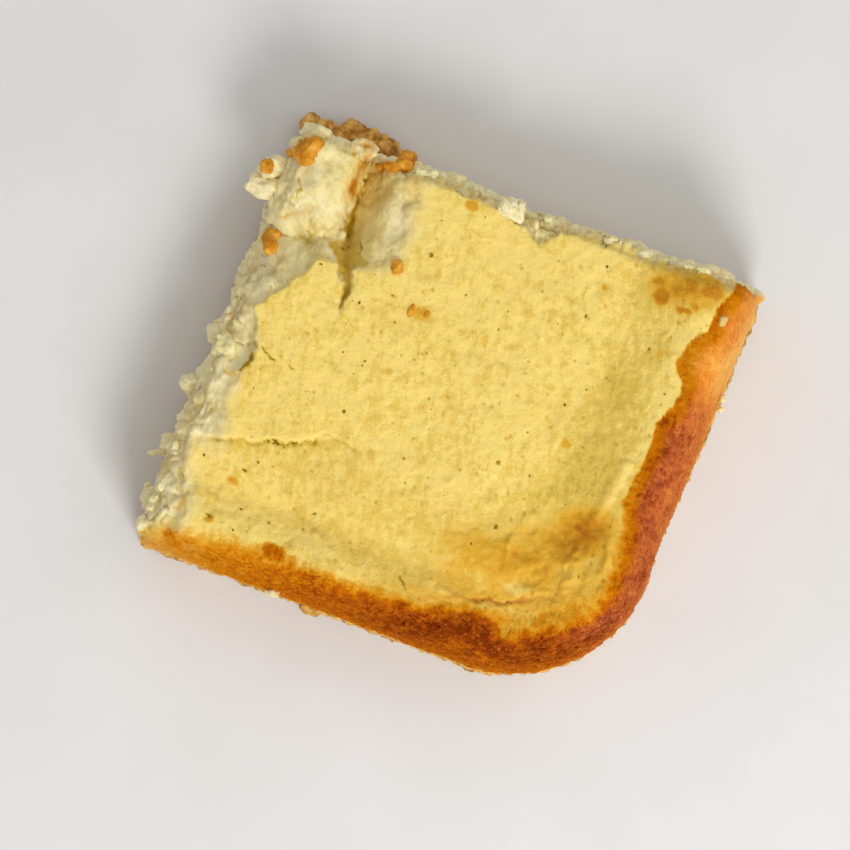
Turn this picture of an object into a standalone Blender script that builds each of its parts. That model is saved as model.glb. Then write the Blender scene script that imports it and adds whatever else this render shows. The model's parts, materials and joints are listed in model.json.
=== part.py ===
"""A square corner piece of baked cheesecake on a crumb base, as two solids: the cheese filling and the base.

Plan sizes are in millimetres. +X points at the baked right side and -Y at the baked front side, which meet
in the tin's round corner. The left and back sides are cut and crumbly. The meshes are in metres, and their
origin is in the middle of the flat underside.
"""

import math

import bmesh
import bpy
from mathutils import Vector, noise

MM = 0.001

# The piece's plan, and how far its sides drift from straight. Crumbs stand out past it, so the middle of
# all that shows is a little off its zero.
LEFT, RIGHT = -53.2, 52.4
FRONT, BACK = -48.3, 48.0
CORNER_RADIUS = 31.5
LEFT_TILT = 0.02
RIGHT_DRIFT = ((-24.0, -0.2), (-8.0, -0.9), (10.0, 0.2), (28.0, 1.0), (48.0, 1.4))
PLAN_MIDDLE = (-2.4, 2.2)

# The two layers, one above the other.
BASE_THICKNESS = 7.0
LAYER_GAP = 0.3
FILLING_FOOT = BASE_THICKNESS + LAYER_GAP

# The baked rim: a wall that rounds over into a crest, then falls into the sunken middle.
RIM_WIDTH = 8.0
RIM_ROWS = 8
RIM_WALL_POWER, RIM_SHOULDER_POWER = 3.0, 1.6
TOP_LEVEL = 32.3
RIGHT_RISE, RIGHT_RISE_START = 4.6, 25.0
FRONT_RISE, FRONT_RISE_START = 2.4, -30.0
WALL_WAVE, WALL_WAVE_LENGTH = 0.5, 11.0
TOP_WAVES = ((0.45, 17.0), (0.2, 5.5))

# Soft swells and hollows of the top: centre, reach along X and Y, height.
SWELLS = (
    ((20.0, -25.0), (10.0, 4.5), 1.0),
    ((34.0, -14.0), (6.0, 5.0), -1.2),
    ((-20.0, -32.0), (34.0, 3.6), -0.6),
    ((39.0, 41.0), (8.0, 5.0), 0.9),
    ((25.5, -38.5), (3.4, 3.6), -1.3),
    ((-10.0, 5.0), (30.0, 26.0), -0.7),
)

# In front of this line, and left of STEP_END, the skin has slipped down by STEP_DROP.
STEP_LINE = (
    (-60.0, -24.6), (-44.0, -21.6), (-38.5, -20.4), (-29.0, -17.2), (-21.0, -12.8), (-16.0, -13.8),
    (-8.0, -16.0),
)
STEP_DROP, STEP_END, STEP_FADE = 1.4, -12.0, 15.0

# The ragged edge of the skin, from the back right along the back, then down the left side to the front.
SKIN_EDGE = (
    (60.0, 46.0), (40.0, 45.8), (30.0, 45.2), (13.0, 45.5), (8.0, 44.8), (4.5, 40.4), (0.5, 43.2),
    (-2.0, 42.8), (-6.0, 44.4), (-24.0, 45.6), (-25.0, 42.5), (-22.5, 40.0), (-24.0, 36.5), (-22.0, 33.0),
    (-23.5, 29.0), (-22.5, 26.6), (-25.0, 24.4), (-30.4, 22.0), (-28.9, 17.8), (-30.0, 12.0),
    (-31.9, 18.2), (-33.8, 20.3), (-37.5, 21.0), (-39.0, 19.5), (-40.0, 16.8), (-43.5, 12.2),
    (-47.0, 6.8), (-44.6, 2.2), (-43.6, -1.5), (-46.6, -12.0), (-44.4, -21.6), (-50.2, -23.0),
    (-50.5, -26.0), (-46.0, -37.0), (-46.5, -41.0), (-49.0, -44.0), (-60.0, -47.0),
)
SKIN_OUTLINE = SKIN_EDGE + ((-60.0, -80.0), (80.0, -80.0), (80.0, 46.0))
SKIN_THICKNESS = 1.2
TORN_SLOPE = 0.85
TORN_FLOOR = 20.0
TORN_ROUGHNESS, TORN_ROUGHNESS_LENGTH = 1.6, 3.6

# The lump that has broken away at the back left: its top, and its reach from there.
LUMP_TOP = (-41.5, 39.0)
LUMP_REACH_LEFT, LUMP_REACH_RIGHT, LUMP_REACH_Y = 12.5, 5.6, 15.2
LUMP_FOOT, LUMP_HEIGHT, LUMP_POWER = 19.5, 11.2, 3.0

# The cleft beside the lump, by x, y and z along its bottom. Its right wall leans, and its left one is steep.
CLEFT_LINE = (
    (-35.2, 52.0, 22.0), (-34.8, 38.0, 20.5), (-34.2, 30.0, 21.5), (-33.9, 26.0, 24.0), (-32.3, 21.5, 28.2),
    (-30.0, 12.5, 30.8),
)
CLEFT_RIGHT_SLOPE, CLEFT_LEFT_SLOPE = 1.25, 4.6

# The cut sides lean in towards the top and are rough with curd.
CUT_LEAN = 2.8
CUT_ROUGHNESS = ((1.7, 7.5), (0.9, 3.8))
UNCUT_MARGIN = 4.5
KNIFE_SPACING, KNIFE_LENGTH, KNIFE_HEIGHT, KNIFE_DEPTH = 2.7, 125.0, 40.0, 12.0

# The top's grid is fine over the torn part at the back left.
FINE_SPACING, COARSE_SPACING = 1.55, 3.2
FINE_TO_X, FINE_TO_Y = -19.0, 9.0

# Curd lumps that stand out of the filling: centre and half sizes.
CURD_LUMPS = (
    ((-53.4, 32.5, 22.5), (4.7, 2.9, 3.4)),
    ((-53.6, 36.8, 22.8), (3.5, 2.8, 3.2)),
    ((-47.6, 46.4, 25.6), (3.6, 2.2, 2.8)),
    ((-37.2, 46.8, 27.0), (3.0, 2.4, 4.2)),
    ((-46.5, 33.0, 26.0), (3.2, 4.4, 3.2)),
    ((-52.8, -0.4, 20.0), (2.8, 2.7, 3.0)),
    ((-53.8, -12.7, 20.0), (3.2, 2.4, 2.8)),
    ((-53.8, -26.0, 18.5), (2.8, 2.3, 2.6)),
    ((-53.8, -38.3, 17.0), (2.4, 2.7, 3.0)),
    ((-49.2, -3.6, 26.4), (3.0, 3.6, 2.6)),
    ((-51.0, -31.0, 23.5), (2.4, 2.8, 2.6)),
    ((-3.2, 45.3, 30.6), (3.4, 3.0, 2.0)),
    ((44.0, 46.4, 30.3), (2.8, 2.4, 2.4)),
    ((-17.0, 45.8, 26.0), (3.6, 3.0, 2.8)),
    ((24.0, 46.0, 22.0), (3.8, 2.9, 2.8)),
)

# Crumbs of the base that lie on the filling: centre and half sizes.
CRUMBS_ON_TOP = (
    ((-48.6, 41.6, 29.6), (3.3, 2.9, 2.0)),
    ((-55.2, 36.6, 25.0), (1.4, 2.0, 1.6)),
    ((-49.0, 21.7, 23.4), (2.0, 2.7, 1.9)),
    ((-21.5, 25.3, 31.9), (1.4, 1.6, 1.2)),
    ((-15.4, 17.8, 31.4), (1.2, 1.4, 0.9)),
    ((-29.8, 45.4, 27.4), (3.0, 1.5, 1.8)),
    ((-37.2, 47.7, 30.4), (1.7, 1.5, 1.5)),
    ((-36.0, 39.5, 22.4), (1.3, 3.2, 2.6)),
)
LUMP_UNEVENNESS, LUMP_UNEVENNESS_LENGTH = 0.4, 0.9
LUMP_DETAIL = 2

# The crumb base: how its cut corners and its edges round, and how rough its sides are.
BASE_CORNER_RADIUS = 2.4
BASE_EDGE_ROUND, BASE_EDGE_POWER = 1.2, 4
BASE_ROWS = 4
BASE_POINT_SPACING = 2.6
BASE_ROUGHNESS = ((0.5, 5.0), (0.35, 2.4))
BASE_CRUMBS = (
    ((-50.9, 49.8, 3.8), (2.4, 3.2, 2.6)),
    ((-47.4, 50.2, 3.6), (2.3, 2.6, 2.7)),
    ((-44.4, 50.0, 3.4), (2.4, 2.6, 2.6)),
    ((-42.0, 52.2, 4.0), (2.8, 2.4, 3.0)),
    ((-38.0, 51.4, 3.9), (2.8, 2.6, 2.9)),
    ((-34.2, 51.0, 3.7), (2.7, 2.6, 2.8)),
    ((-31.0, 49.6, 3.5), (2.4, 2.4, 2.6)),
    ((-27.2, 48.4, 3.3), (2.2, 2.2, 2.4)),
    ((11.0, 47.6, 3.4), (2.8, 1.9, 2.4)),
    ((31.8, 47.8, 3.6), (2.4, 2.1, 2.4)),
    ((39.0, 47.6, 3.2), (2.5, 1.9, 2.3)),
    ((-53.0, 12.0, 3.3), (1.8, 2.6, 2.4)),
    ((-53.4, -18.6, 3.2), (1.9, 2.4, 2.3)),
    ((-14.0, -48.4, 3.2), (2.6, 1.7, 2.2)),
    ((22.0, -47.7, 3.2), (3.0, 1.6, 2.2)),
    ((40.0, -39.6, 3.2), (2.6, 1.9, 2.2)),
)

# Where the smooth noise of each surface starts.
WALL_SEED, TOP_SEED, TORN_SEED, LEFT_CUT_SEED, BACK_CUT_SEED, BASE_SEED = 0.0, 3.0, 5.0, 11.0, 17.0, 23.0

CREAM, CREAM_ROUGHNESS = (0.86, 0.70, 0.30, 1.0), 0.6
BISCUIT, BISCUIT_ROUGHNESS = (0.48, 0.25, 0.08, 1.0), 0.85
SHARP_ANGLE = math.radians(50.0)


def clear_scene():
    for obj in list(bpy.data.objects):
        bpy.data.objects.remove(obj, do_unlink=True)


def eased(value):
    """0 below 0, 1 above 1 and a smooth step between."""
    value = min(1.0, max(0.0, value))
    return value * value * (3.0 - 2.0 * value)


def ripple(x, y, z, length, seed):
    """Smooth noise from about -1 to 1, with features of the given length."""
    return noise.noise(Vector((x / length + seed, y / length - seed, z / length + 0.5 * seed)))


def ripples(x, y, z, layers, seed):
    """The sum of ripples, each given by its height and length."""
    return sum(height * ripple(x, y, z, length, seed + i) for i, (height, length) in enumerate(layers))


def along_table(value, table):
    """Reads a table of (place, amount) pairs at a value, in straight lines between the pairs."""
    if value <= table[0][0]:
        return table[0][1]
    for (a, low), (b, high) in zip(table, table[1:]):
        if value <= b:
            return low + (high - low) * (value - a) / (b - a)
    return table[-1][1]


def nearest_on_line(x, y, line):
    """The distance from a plan point to a line of points, its side, and the line's height there if any.

    The side is 1 to the left of the line's direction and -1 to the right.
    """
    best = (math.inf, 1.0, 0.0)
    for a, b in zip(line, line[1:]):
        ex, ey = b[0] - a[0], b[1] - a[1]
        t = min(1.0, max(0.0, ((x - a[0]) * ex + (y - a[1]) * ey) / (ex * ex + ey * ey)))
        dx, dy = x - a[0] - t * ex, y - a[1] - t * ey
        distance = math.hypot(dx, dy)
        if distance < best[0]:
            side = 1.0 if ex * dy - ey * dx >= 0.0 else -1.0
            height = a[2] + t * (b[2] - a[2]) if len(a) > 2 else 0.0
            best = (distance, side, height)
    return best


def inside(x, y, outline):
    """True if a plan point lies in the outline, by counting crossings."""
    found = False
    for (ax, ay), (bx, by) in zip(outline, outline[1:] + outline[:1]):
        if (ay > y) != (by > y) and x < ax + (y - ay) * (bx - ax) / (by - ay):
            found = not found
    return found


def drift(x, y):
    """How far the right wall, and what is near it, lies beyond its straight line."""
    return along_table(y, RIGHT_DRIFT) * eased((x - RIGHT) / CORNER_RADIUS + 1.0)


def skin_height(x, y):
    """The height of the unbroken top inside the rim's crest."""
    right = RIGHT_RISE * eased((x - RIGHT_RISE_START) / (RIGHT - RIM_WIDTH - RIGHT_RISE_START))
    front = FRONT_RISE * eased((FRONT_RISE_START - y) / (FRONT_RISE_START - FRONT - RIM_WIDTH))
    height = TOP_LEVEL + math.hypot(right, front) + ripples(x, y, 0.0, TOP_WAVES, TOP_SEED)
    for (cx, cy), (rx, ry), lift in SWELLS:
        height += lift * math.exp(-(((x - cx) / rx) ** 2) - ((y - cy) / ry) ** 2)
    side = nearest_on_line(x, y, STEP_LINE)[1]
    if side < 0.0:
        height -= STEP_DROP * eased((STEP_END - x) / STEP_FADE)
    return height


def lump_height(x, y):
    """The top of the lump that has broken away."""
    dx, dy = x - LUMP_TOP[0], y - LUMP_TOP[1]
    reach = LUMP_REACH_RIGHT if dx > 0.0 else LUMP_REACH_LEFT
    room = 1.0 - abs(dx / reach) ** LUMP_POWER - abs(dy / LUMP_REACH_Y) ** LUMP_POWER
    return LUMP_FOOT + LUMP_HEIGHT * max(0.0, room) ** (1.0 / LUMP_POWER)


def cleft_height(x, y):
    """The cleft's walls, which rise to both sides of its bottom."""
    distance, side, bottom = nearest_on_line(x, y, CLEFT_LINE)
    return bottom + distance * (CLEFT_RIGHT_SLOPE if side > 0.0 else CLEFT_LEFT_SLOPE)


def top_height(x, y):
    """The height of the whole top: the skin, and the torn curd outside its edge."""
    skin = skin_height(x, y)
    if inside(x, y, SKIN_OUTLINE):
        return skin
    distance = nearest_on_line(x, y, SKIN_EDGE)[0]
    torn = max(TORN_FLOOR, skin - SKIN_THICKNESS - TORN_SLOPE * distance, lump_height(x, y))
    roughness = TORN_ROUGHNESS * eased(distance / TORN_ROUGHNESS_LENGTH)
    torn += roughness * ripple(x, y, 0.0, TORN_ROUGHNESS_LENGTH, TORN_SEED)
    return min(skin - SKIN_THICKNESS, torn, cleft_height(x, y))


def round_corner(x, y):
    """Moves a point of the square inside the rim's crest so that the square's corner becomes round."""
    radius = CORNER_RADIUS - RIM_WIDTH
    cx, cy = RIGHT - CORNER_RADIUS, FRONT + CORNER_RADIUS
    dx, dy = x - cx, y - cy
    if dx <= 0.0 or dy >= 0.0:
        return x, y
    ring = max(dx, -dy)
    scale = 1.0 + (ring / math.hypot(dx, dy) - 1.0) * eased(ring / radius)
    return cx + dx * scale, cy + dy * scale


def outward(x, y):
    """The direction out through the baked wall that is nearest to a plan point."""
    dx = max(0.0, x - RIGHT + CORNER_RADIUS)
    dy = min(0.0, y - FRONT - CORNER_RADIUS)
    return Vector((dx, dy, 0.0)).normalized()


def rim_section(turn, crest):
    """The inset and height of a point of the rim's section. Turn is 0 at its foot and 1 at the crest."""
    angle = turn * math.pi / 2
    inset = RIM_WIDTH * (1.0 - math.cos(angle) ** (2.0 / RIM_WALL_POWER))
    height = FILLING_FOOT + (crest - FILLING_FOOT) * math.sin(angle) ** (2.0 / RIM_SHOULDER_POWER)
    return inset, height


def spaced(start, fine_end, end):
    """Positions from start to end, with fine spacing up to fine_end and coarse spacing after it."""
    fine = round(abs(fine_end - start) / FINE_SPACING)
    coarse = round(abs(end - fine_end) / COARSE_SPACING)
    near = [start + (fine_end - start) * i / fine for i in range(fine)]
    return near + [fine_end + (end - fine_end) * i / coarse for i in range(coarse + 1)]


def add_strip(bm, upper, lower):
    """Adds a row of faces between two rows of corners."""
    for a, b, c, d in zip(upper, lower, lower[1:], upper[1:]):
        bm.faces.new((a, b, c, d))


def at_foot(bm, corners):
    """Adds a corner at the filling's foot under each of these."""
    return [bm.verts.new((corner.co.x, corner.co.y, FILLING_FOOT)) for corner in corners]


def finish_mesh(bm):
    """Fills the open sides, and makes triangles that face out."""
    bmesh.ops.holes_fill(bm, edges=[edge for edge in bm.edges if edge.is_boundary])
    bmesh.ops.triangulate(bm, faces=bm.faces)
    bmesh.ops.recalc_face_normals(bm, faces=bm.faces)


def mesh_object(name, bm, collection=None):
    """Makes an object of a bmesh in millimetres, which is used up."""
    bmesh.ops.translate(bm, vec=(-PLAN_MIDDLE[0], -PLAN_MIDDLE[1], 0.0), verts=bm.verts)
    bmesh.ops.scale(bm, vec=(MM, MM, MM), verts=bm.verts)
    mesh = bpy.data.meshes.new(name)
    bm.to_mesh(mesh)
    bm.free()
    obj = bpy.data.objects.new(name, mesh)
    (collection or bpy.context.scene.collection).objects.link(obj)
    return obj


def uncut_filling():
    """The filling before the knife: its top and baked rim, which run on past the two cut sides."""
    bm = bmesh.new()
    rows = []
    for y in spaced(BACK + UNCUT_MARGIN, FINE_TO_Y, FRONT + RIM_WIDTH):
        row = []
        for x in spaced(LEFT - UNCUT_MARGIN, FINE_TO_X, RIGHT - RIM_WIDTH):
            px, py = round_corner(x, y)
            row.append(bm.verts.new((px, py, top_height(px, py))))
        rows.append(row)
    for upper, lower in zip(rows, rows[1:]):
        add_strip(bm, upper, lower)

    crest = [row[-1] for row in rows] + rows[-1][-2::-1]
    upper = crest
    for k in range(1, RIM_ROWS + 1):
        turn = 1.0 - k / RIM_ROWS
        lower = []
        for vert in crest:
            x, y, _ = vert.co
            inset, height = rim_section(turn, vert.co.z)
            wave = WALL_WAVE * (1.0 - turn) * ripple(x, y, height, WALL_WAVE_LENGTH, WALL_SEED)
            place = vert.co + outward(x, y) * (RIM_WIDTH - inset + wave)
            lower.append(bm.verts.new((place.x, place.y, height)))
        add_strip(bm, lower, upper)
        upper = lower

    left_top, back_top = [row[0] for row in rows], rows[0]
    left_foot = at_foot(bm, left_top[:-1]) + [upper[-1]]
    back_foot = [left_foot[0]] + at_foot(bm, back_top[1:-1]) + [upper[0]]
    add_strip(bm, left_top, left_foot)
    add_strip(bm, back_foot, back_top)
    for vert in bm.verts:
        vert.co.x += drift(vert.co.x, vert.co.y)
    finish_mesh(bm)
    return mesh_object("cheese_filling", bm)


def left_cut(along, z):
    """The plan point of the left cut side at a distance along it and a height."""
    lean = CUT_LEAN * eased(z / TOP_LEVEL)
    return LEFT + LEFT_TILT * along + lean + ripples(LEFT, along, z, CUT_ROUGHNESS, LEFT_CUT_SEED), along


def back_cut(along, z):
    """The plan point of the back cut side at a distance along it and a height."""
    lean = CUT_LEAN * eased(z / TOP_LEVEL)
    return along, BACK - lean + ripples(along, BACK, z, CUT_ROUGHNESS, BACK_CUT_SEED)


def knife(name, cut, waste):
    """A cutter whose near face is a rough cut side, and which takes away what lies beyond it."""
    bm = bmesh.new()
    columns, rows = round(KNIFE_LENGTH / KNIFE_SPACING), round(KNIFE_HEIGHT / KNIFE_SPACING)
    bmesh.ops.create_grid(bm, x_segments=columns, y_segments=rows, size=0.5)
    for vert in bm.verts:
        z = FILLING_FOOT - KNIFE_SPACING + (vert.co.y + 0.5) * KNIFE_HEIGHT
        px, py = cut(vert.co.x * KNIFE_LENGTH, z)
        vert.co = (px, py, z)
    made = bmesh.ops.extrude_face_region(bm, geom=bm.faces[:], use_keep_orig=True)
    far = [item for item in made["geom"] if isinstance(item, bmesh.types.BMVert)]
    bmesh.ops.translate(bm, vec=(waste[0] * KNIFE_DEPTH, waste[1] * KNIFE_DEPTH, 0.0), verts=far)
    finish_mesh(bm)
    obj = mesh_object(name, bm)
    obj.hide_render = True
    obj.display_type = "WIRE"
    return obj


def uneven_lump(name, centre, size, seed, collection):
    """A round lump or crumb with an uneven surface."""
    bm = bmesh.new()
    bmesh.ops.create_icosphere(bm, subdivisions=LUMP_DETAIL, radius=1.0)
    for vert in bm.verts:
        swell = 1.0 + LUMP_UNEVENNESS * ripple(*vert.co, LUMP_UNEVENNESS_LENGTH, seed)
        vert.co = [middle + half * swell * part for middle, half, part in zip(centre, size, vert.co)]
    return mesh_object(name, bm, collection)


def apply_modifiers(obj):
    """Makes an object's mesh what its modifiers give, and removes them."""
    graph = bpy.context.evaluated_depsgraph_get()
    mesh = bpy.data.meshes.new_from_object(obj.evaluated_get(graph))
    obj.modifiers.clear()
    obj.data = mesh


def cut_away(obj, cutters):
    """Takes the cutters out of an object, and removes them."""
    for cutter in cutters:
        modifier = obj.modifiers.new("cut", "BOOLEAN")
        modifier.operation = "DIFFERENCE"
        modifier.object = cutter
    apply_modifiers(obj)
    for cutter in cutters:
        bpy.data.objects.remove(cutter)


def fuse(obj, lumps):
    """Joins lumps, each given by its centre and half sizes, to an object by one union."""
    collection = bpy.data.collections.new("fused")
    bpy.context.scene.collection.children.link(collection)
    for i, (centre, size) in enumerate(lumps):
        uneven_lump(f"lump_{i}", centre, size, float(i), collection)
    modifier = obj.modifiers.new("fuse", "BOOLEAN")
    modifier.operation = "UNION"
    modifier.operand_type = "COLLECTION"
    modifier.collection = collection
    apply_modifiers(obj)
    for lump in list(collection.objects):
        bpy.data.objects.remove(lump)
    bpy.data.collections.remove(collection)


def base_outline():
    """Points round the base, about BASE_POINT_SPACING apart, each with its outward direction."""
    corners = (
        (LEFT, FRONT, 1, 1, BASE_CORNER_RADIUS), (RIGHT, FRONT, -1, 1, CORNER_RADIUS),
        (RIGHT, BACK, -1, -1, BASE_CORNER_RADIUS), (LEFT, BACK, 1, -1, BASE_CORNER_RADIUS),
    )
    points = []
    for i, (x, y, to_right, to_back, radius) in enumerate(corners):
        cx, cy = x + to_right * radius, y + to_back * radius
        turns = max(2, round(radius * math.pi / 2 / BASE_POINT_SPACING))
        for step in range(turns + 1):
            angle = math.pi * (1.0 + 0.5 * (i + step / turns))
            dx, dy = math.cos(angle), math.sin(angle)
            points.append((cx + radius * dx, cy + radius * dy, dx, dy))
        ax, ay = points[-1][:2]
        next_x, next_y, next_to_right, next_to_back, next_radius = corners[(i + 1) % len(corners)]
        bx = next_x + next_radius * (next_to_right + dx)
        by = next_y + next_radius * (next_to_back + dy)
        count = round(math.hypot(bx - ax, by - ay) / BASE_POINT_SPACING)
        points += [
            (ax + (bx - ax) * step / count, ay + (by - ay) * step / count, dx, dy) for step in range(1, count)
        ]
    return points


def crumb_base():
    """The slab of pressed crumbs, with rough sides and coarse crumbs that stand out of them."""
    bm = bmesh.new()
    rings = []
    for k in range(BASE_ROWS + 1):
        rise = k / BASE_ROWS
        ring = []
        for x, y, dx, dy in base_outline():
            z = BASE_THICKNESS * rise
            out = ripples(x, y, z, BASE_ROUGHNESS, BASE_SEED)
            out -= BASE_EDGE_ROUND * (2.0 * rise - 1.0) ** BASE_EDGE_POWER
            tilt = LEFT_TILT * y * (RIGHT - x) / (RIGHT - LEFT)
            ring.append(bm.verts.new((x + dx * out + tilt + drift(x, y), y + dy * out, z)))
        rings.append(ring)
    for lower, upper in zip(rings, rings[1:]):
        add_strip(bm, upper + upper[:1], lower + lower[:1])
    finish_mesh(bm)
    base = mesh_object("crumb_base", bm)
    fuse(base, BASE_CRUMBS)
    return base


def cheese_filling():
    """The filling with its baked rim, torn corner, cut sides, curd lumps and the crumbs that lie on it."""
    filling = uncut_filling()
    cut_away(filling, (knife("left_knife", left_cut, (-1.0, 0.0)), knife("back_knife", back_cut, (0.0, 1.0))))
    fuse(filling, CURD_LUMPS + CRUMBS_ON_TOP)
    return filling


def set_material(obj, colour, roughness):
    """Gives an object its own material and smooth shading."""
    material = bpy.data.materials.new(obj.name)
    material.use_nodes = True
    shader = material.node_tree.nodes["Principled BSDF"]
    shader.inputs["Base Color"].default_value = colour
    shader.inputs["Roughness"].default_value = roughness
    shader.inputs["Metallic"].default_value = 0.0
    obj.data.materials.clear()
    obj.data.materials.append(material)
    obj.data.shade_smooth()
    obj.data.set_sharp_from_angle(angle=SHARP_ANGLE)


def main():
    clear_scene()
    set_material(crumb_base(), BISCUIT, BISCUIT_ROUGHNESS)
    set_material(cheese_filling(), CREAM, CREAM_ROUGHNESS)


main()
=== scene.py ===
"""The looks of the cheesecake piece: baked skin, toasted rim, torn curd, golden crumbs and the crumb base.

Plan sizes are in millimetres, as in the solids' source: +X points at the baked right side, -Y at the baked
front side, and PLAN_MIDDLE is the plan point that lies at the frame's origin. In the tables, a hill is given
as x, y, its reach along X and Y, and its height or strength, and a line as its points, its half width and what
it does. Noise is given as layers of height and length, and a start and fade as the value where something
begins and the reach over which it grows.
"""

import functools
import itertools
import json
import math

import bmesh
import bpy
import numpy as np
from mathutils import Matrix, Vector
from mathutils.bvhtree import BVHTree

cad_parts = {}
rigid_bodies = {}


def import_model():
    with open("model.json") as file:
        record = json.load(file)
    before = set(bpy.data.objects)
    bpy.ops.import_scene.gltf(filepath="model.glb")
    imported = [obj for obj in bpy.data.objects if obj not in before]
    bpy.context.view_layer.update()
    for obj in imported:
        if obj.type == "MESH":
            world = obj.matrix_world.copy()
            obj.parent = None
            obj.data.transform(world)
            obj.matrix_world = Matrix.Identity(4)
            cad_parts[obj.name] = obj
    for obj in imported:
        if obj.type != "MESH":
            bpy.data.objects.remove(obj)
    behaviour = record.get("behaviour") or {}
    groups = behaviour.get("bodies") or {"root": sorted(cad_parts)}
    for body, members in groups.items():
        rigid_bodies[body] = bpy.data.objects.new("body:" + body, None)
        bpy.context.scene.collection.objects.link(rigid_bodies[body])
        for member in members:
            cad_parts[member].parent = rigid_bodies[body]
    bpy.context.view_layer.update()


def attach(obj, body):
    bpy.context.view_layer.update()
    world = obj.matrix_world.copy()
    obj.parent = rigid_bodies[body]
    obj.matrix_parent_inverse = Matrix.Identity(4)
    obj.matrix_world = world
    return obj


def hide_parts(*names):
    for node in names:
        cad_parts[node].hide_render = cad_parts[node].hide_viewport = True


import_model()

MM = 0.001

# The piece's plan, its layers and its baked rim, as in the solids.
LEFT, RIGHT = -53.2, 52.4
FRONT, BACK = -48.3, 48.0
CORNER_RADIUS = 31.5
LEFT_TILT = 0.02
RIGHT_DRIFT = ((-24.0, -0.2), (-8.0, -0.9), (10.0, 0.2), (28.0, 1.0), (48.0, 1.4))
PLAN_MIDDLE = (-2.4, 2.2)
BASE_THICKNESS = 7.0
FILLING_FOOT = BASE_THICKNESS - 0.4
RIM_WIDTH = 8.0
RIM_WALL_POWER, RIM_SHOULDER_POWER = 3.0, 1.6
TOP_LEVEL = 32.3
RIGHT_RISE, RIGHT_RISE_START = 4.6, 25.0
FRONT_RISE, FRONT_RISE_START = 2.4, -30.0

# Mesh spacings.
TOP_SPACING = 0.42
RIM_SPACING = 0.5
WALL_SPACING = 0.5

# Soft swells and hollows of the top.
SWELLS = (
    (20, -25, 10, 4.5, 1), (34, -14, 6, 5, -1.2), (-20, -32, 34, 3.6, -0.6), (39, 41, 8, 5, 0.9),
    (25.5, -38.5, 3.4, 3.6, -1.3), (-10, 5, 30, 26, -0.7),
)
TOP_WAVES = ((0.45, 17.0), (0.2, 5.5))
FOLDED_PLACE, FOLDED_WAVES, FOLD_STRETCH = (31, -25, 15, 10), ((0.55, 4.6), (0.4, 2)), (0.35, 0.7, 1)

# The slipped skin in front of the step.
STEP_LINE = (
    (-60, -24.6), (-44, -21.6), (-38.5, -20.4), (-29, -17.2), (-21, -12.8), (-16, -13.8), (-8, -16),
)
STEP_DROP, STEP_WIDTH, STEP_END, STEP_FADE = 1.4, 0.5, -12.0, 15.0

# The ragged edge of the skin, from the back right along the back, then down the left side to the front.
SKIN_EDGE = (
    (60, 46), (40, 45.8), (30, 45.2), (13, 45.5), (8, 44.8), (6.8, 42.5), (4.5, 40.4), (2, 41.2), (0.5, 43.2),
    (-2, 42.8), (-6, 44.4), (-12, 45), (-24, 45.6), (-25, 42.5), (-22.5, 40), (-24, 36.5), (-22, 33),
    (-23.5, 29), (-22.5, 26.6), (-25, 24.4), (-28, 23), (-30.4, 21.9), (-30, 19.9), (-29, 18.2),
    (-29.3, 15.5), (-30.1, 12), (-30.7, 15.5), (-31.1, 18.2), (-33.2, 19.9), (-33.8, 21.4), (-34.7, 22.3),
    (-36.4, 21.7), (-38.2, 20.8), (-39.4, 18.8), (-40, 16.8), (-42, 14.8), (-43.5, 12.2), (-45.8, 8.4),
    (-47, 6.8), (-46, 4.5), (-44.6, 2.2), (-43.6, -1.5), (-44.3, -5), (-46.3, -11), (-46.6, -13.5),
    (-45.6, -17), (-44.4, -21.6), (-50.2, -23), (-50.5, -26), (-49, -29.5), (-47.5, -33), (-46, -37),
    (-46.5, -41), (-49, -44), (-60, -47),
)
SKIN_OUTLINE = SKIN_EDGE + ((-60.0, -80.0), (80.0, -80.0), (80.0, 46.0))
SKIN_THICKNESS = 1.2
SKIN_EDGE_WIDTH = 0.5
SKIN_RAGGEDNESS = ((0.7, 3.0), (0.35, 1.1))
FLOOR_RAGGEDNESS = ((0.35, 1.6),)
FLOOR_EDGE_WIDTH = 0.6
PALE_EDGE_WIDTH = 0.9

# Where the skin's edge is worn to a soft slope, and how wide and thin it and its pale band are there.
WORN_PLACES = ((-50, -27, 9, 19), (-25, 34.5, 5.5, 11))
WORN_EDGE_WIDTH, WORN_PALE_WIDTH, WORN_SLOPE, WORN_THINNING = 3.2, 7.0, 0.3, 0.7
WORN_PALING, WORN_LENGTH = 1.6, 3.2
TORN_SLOPE = 0.85
TORN_FLOOR = 20.0

# The lump that has broken away at the back left, and the cleft beside it.
LUMP_TOP = (-41.5, 39.0)
LUMP_REACH_LEFT, LUMP_REACH_RIGHT, LUMP_REACH_Y = 12.5, 5.6, 15.2
LUMP_FOOT, LUMP_HEIGHT, LUMP_POWER = 19.5, 11.2, 3.0
CLEFT_LINE = (
    (-35.2, 52, 22), (-34.8, 38, 20.5), (-34.2, 30, 21.5), (-33.9, 26, 24), (-32.3, 21.5, 28.6),
    (-30, 12.5, 31.3),
)
CLEFT_RIGHT_SLOPE, CLEFT_LEFT_SLOPE = 1.25, 4.6
CLEFT_ROUNDING = 1.5

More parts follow.
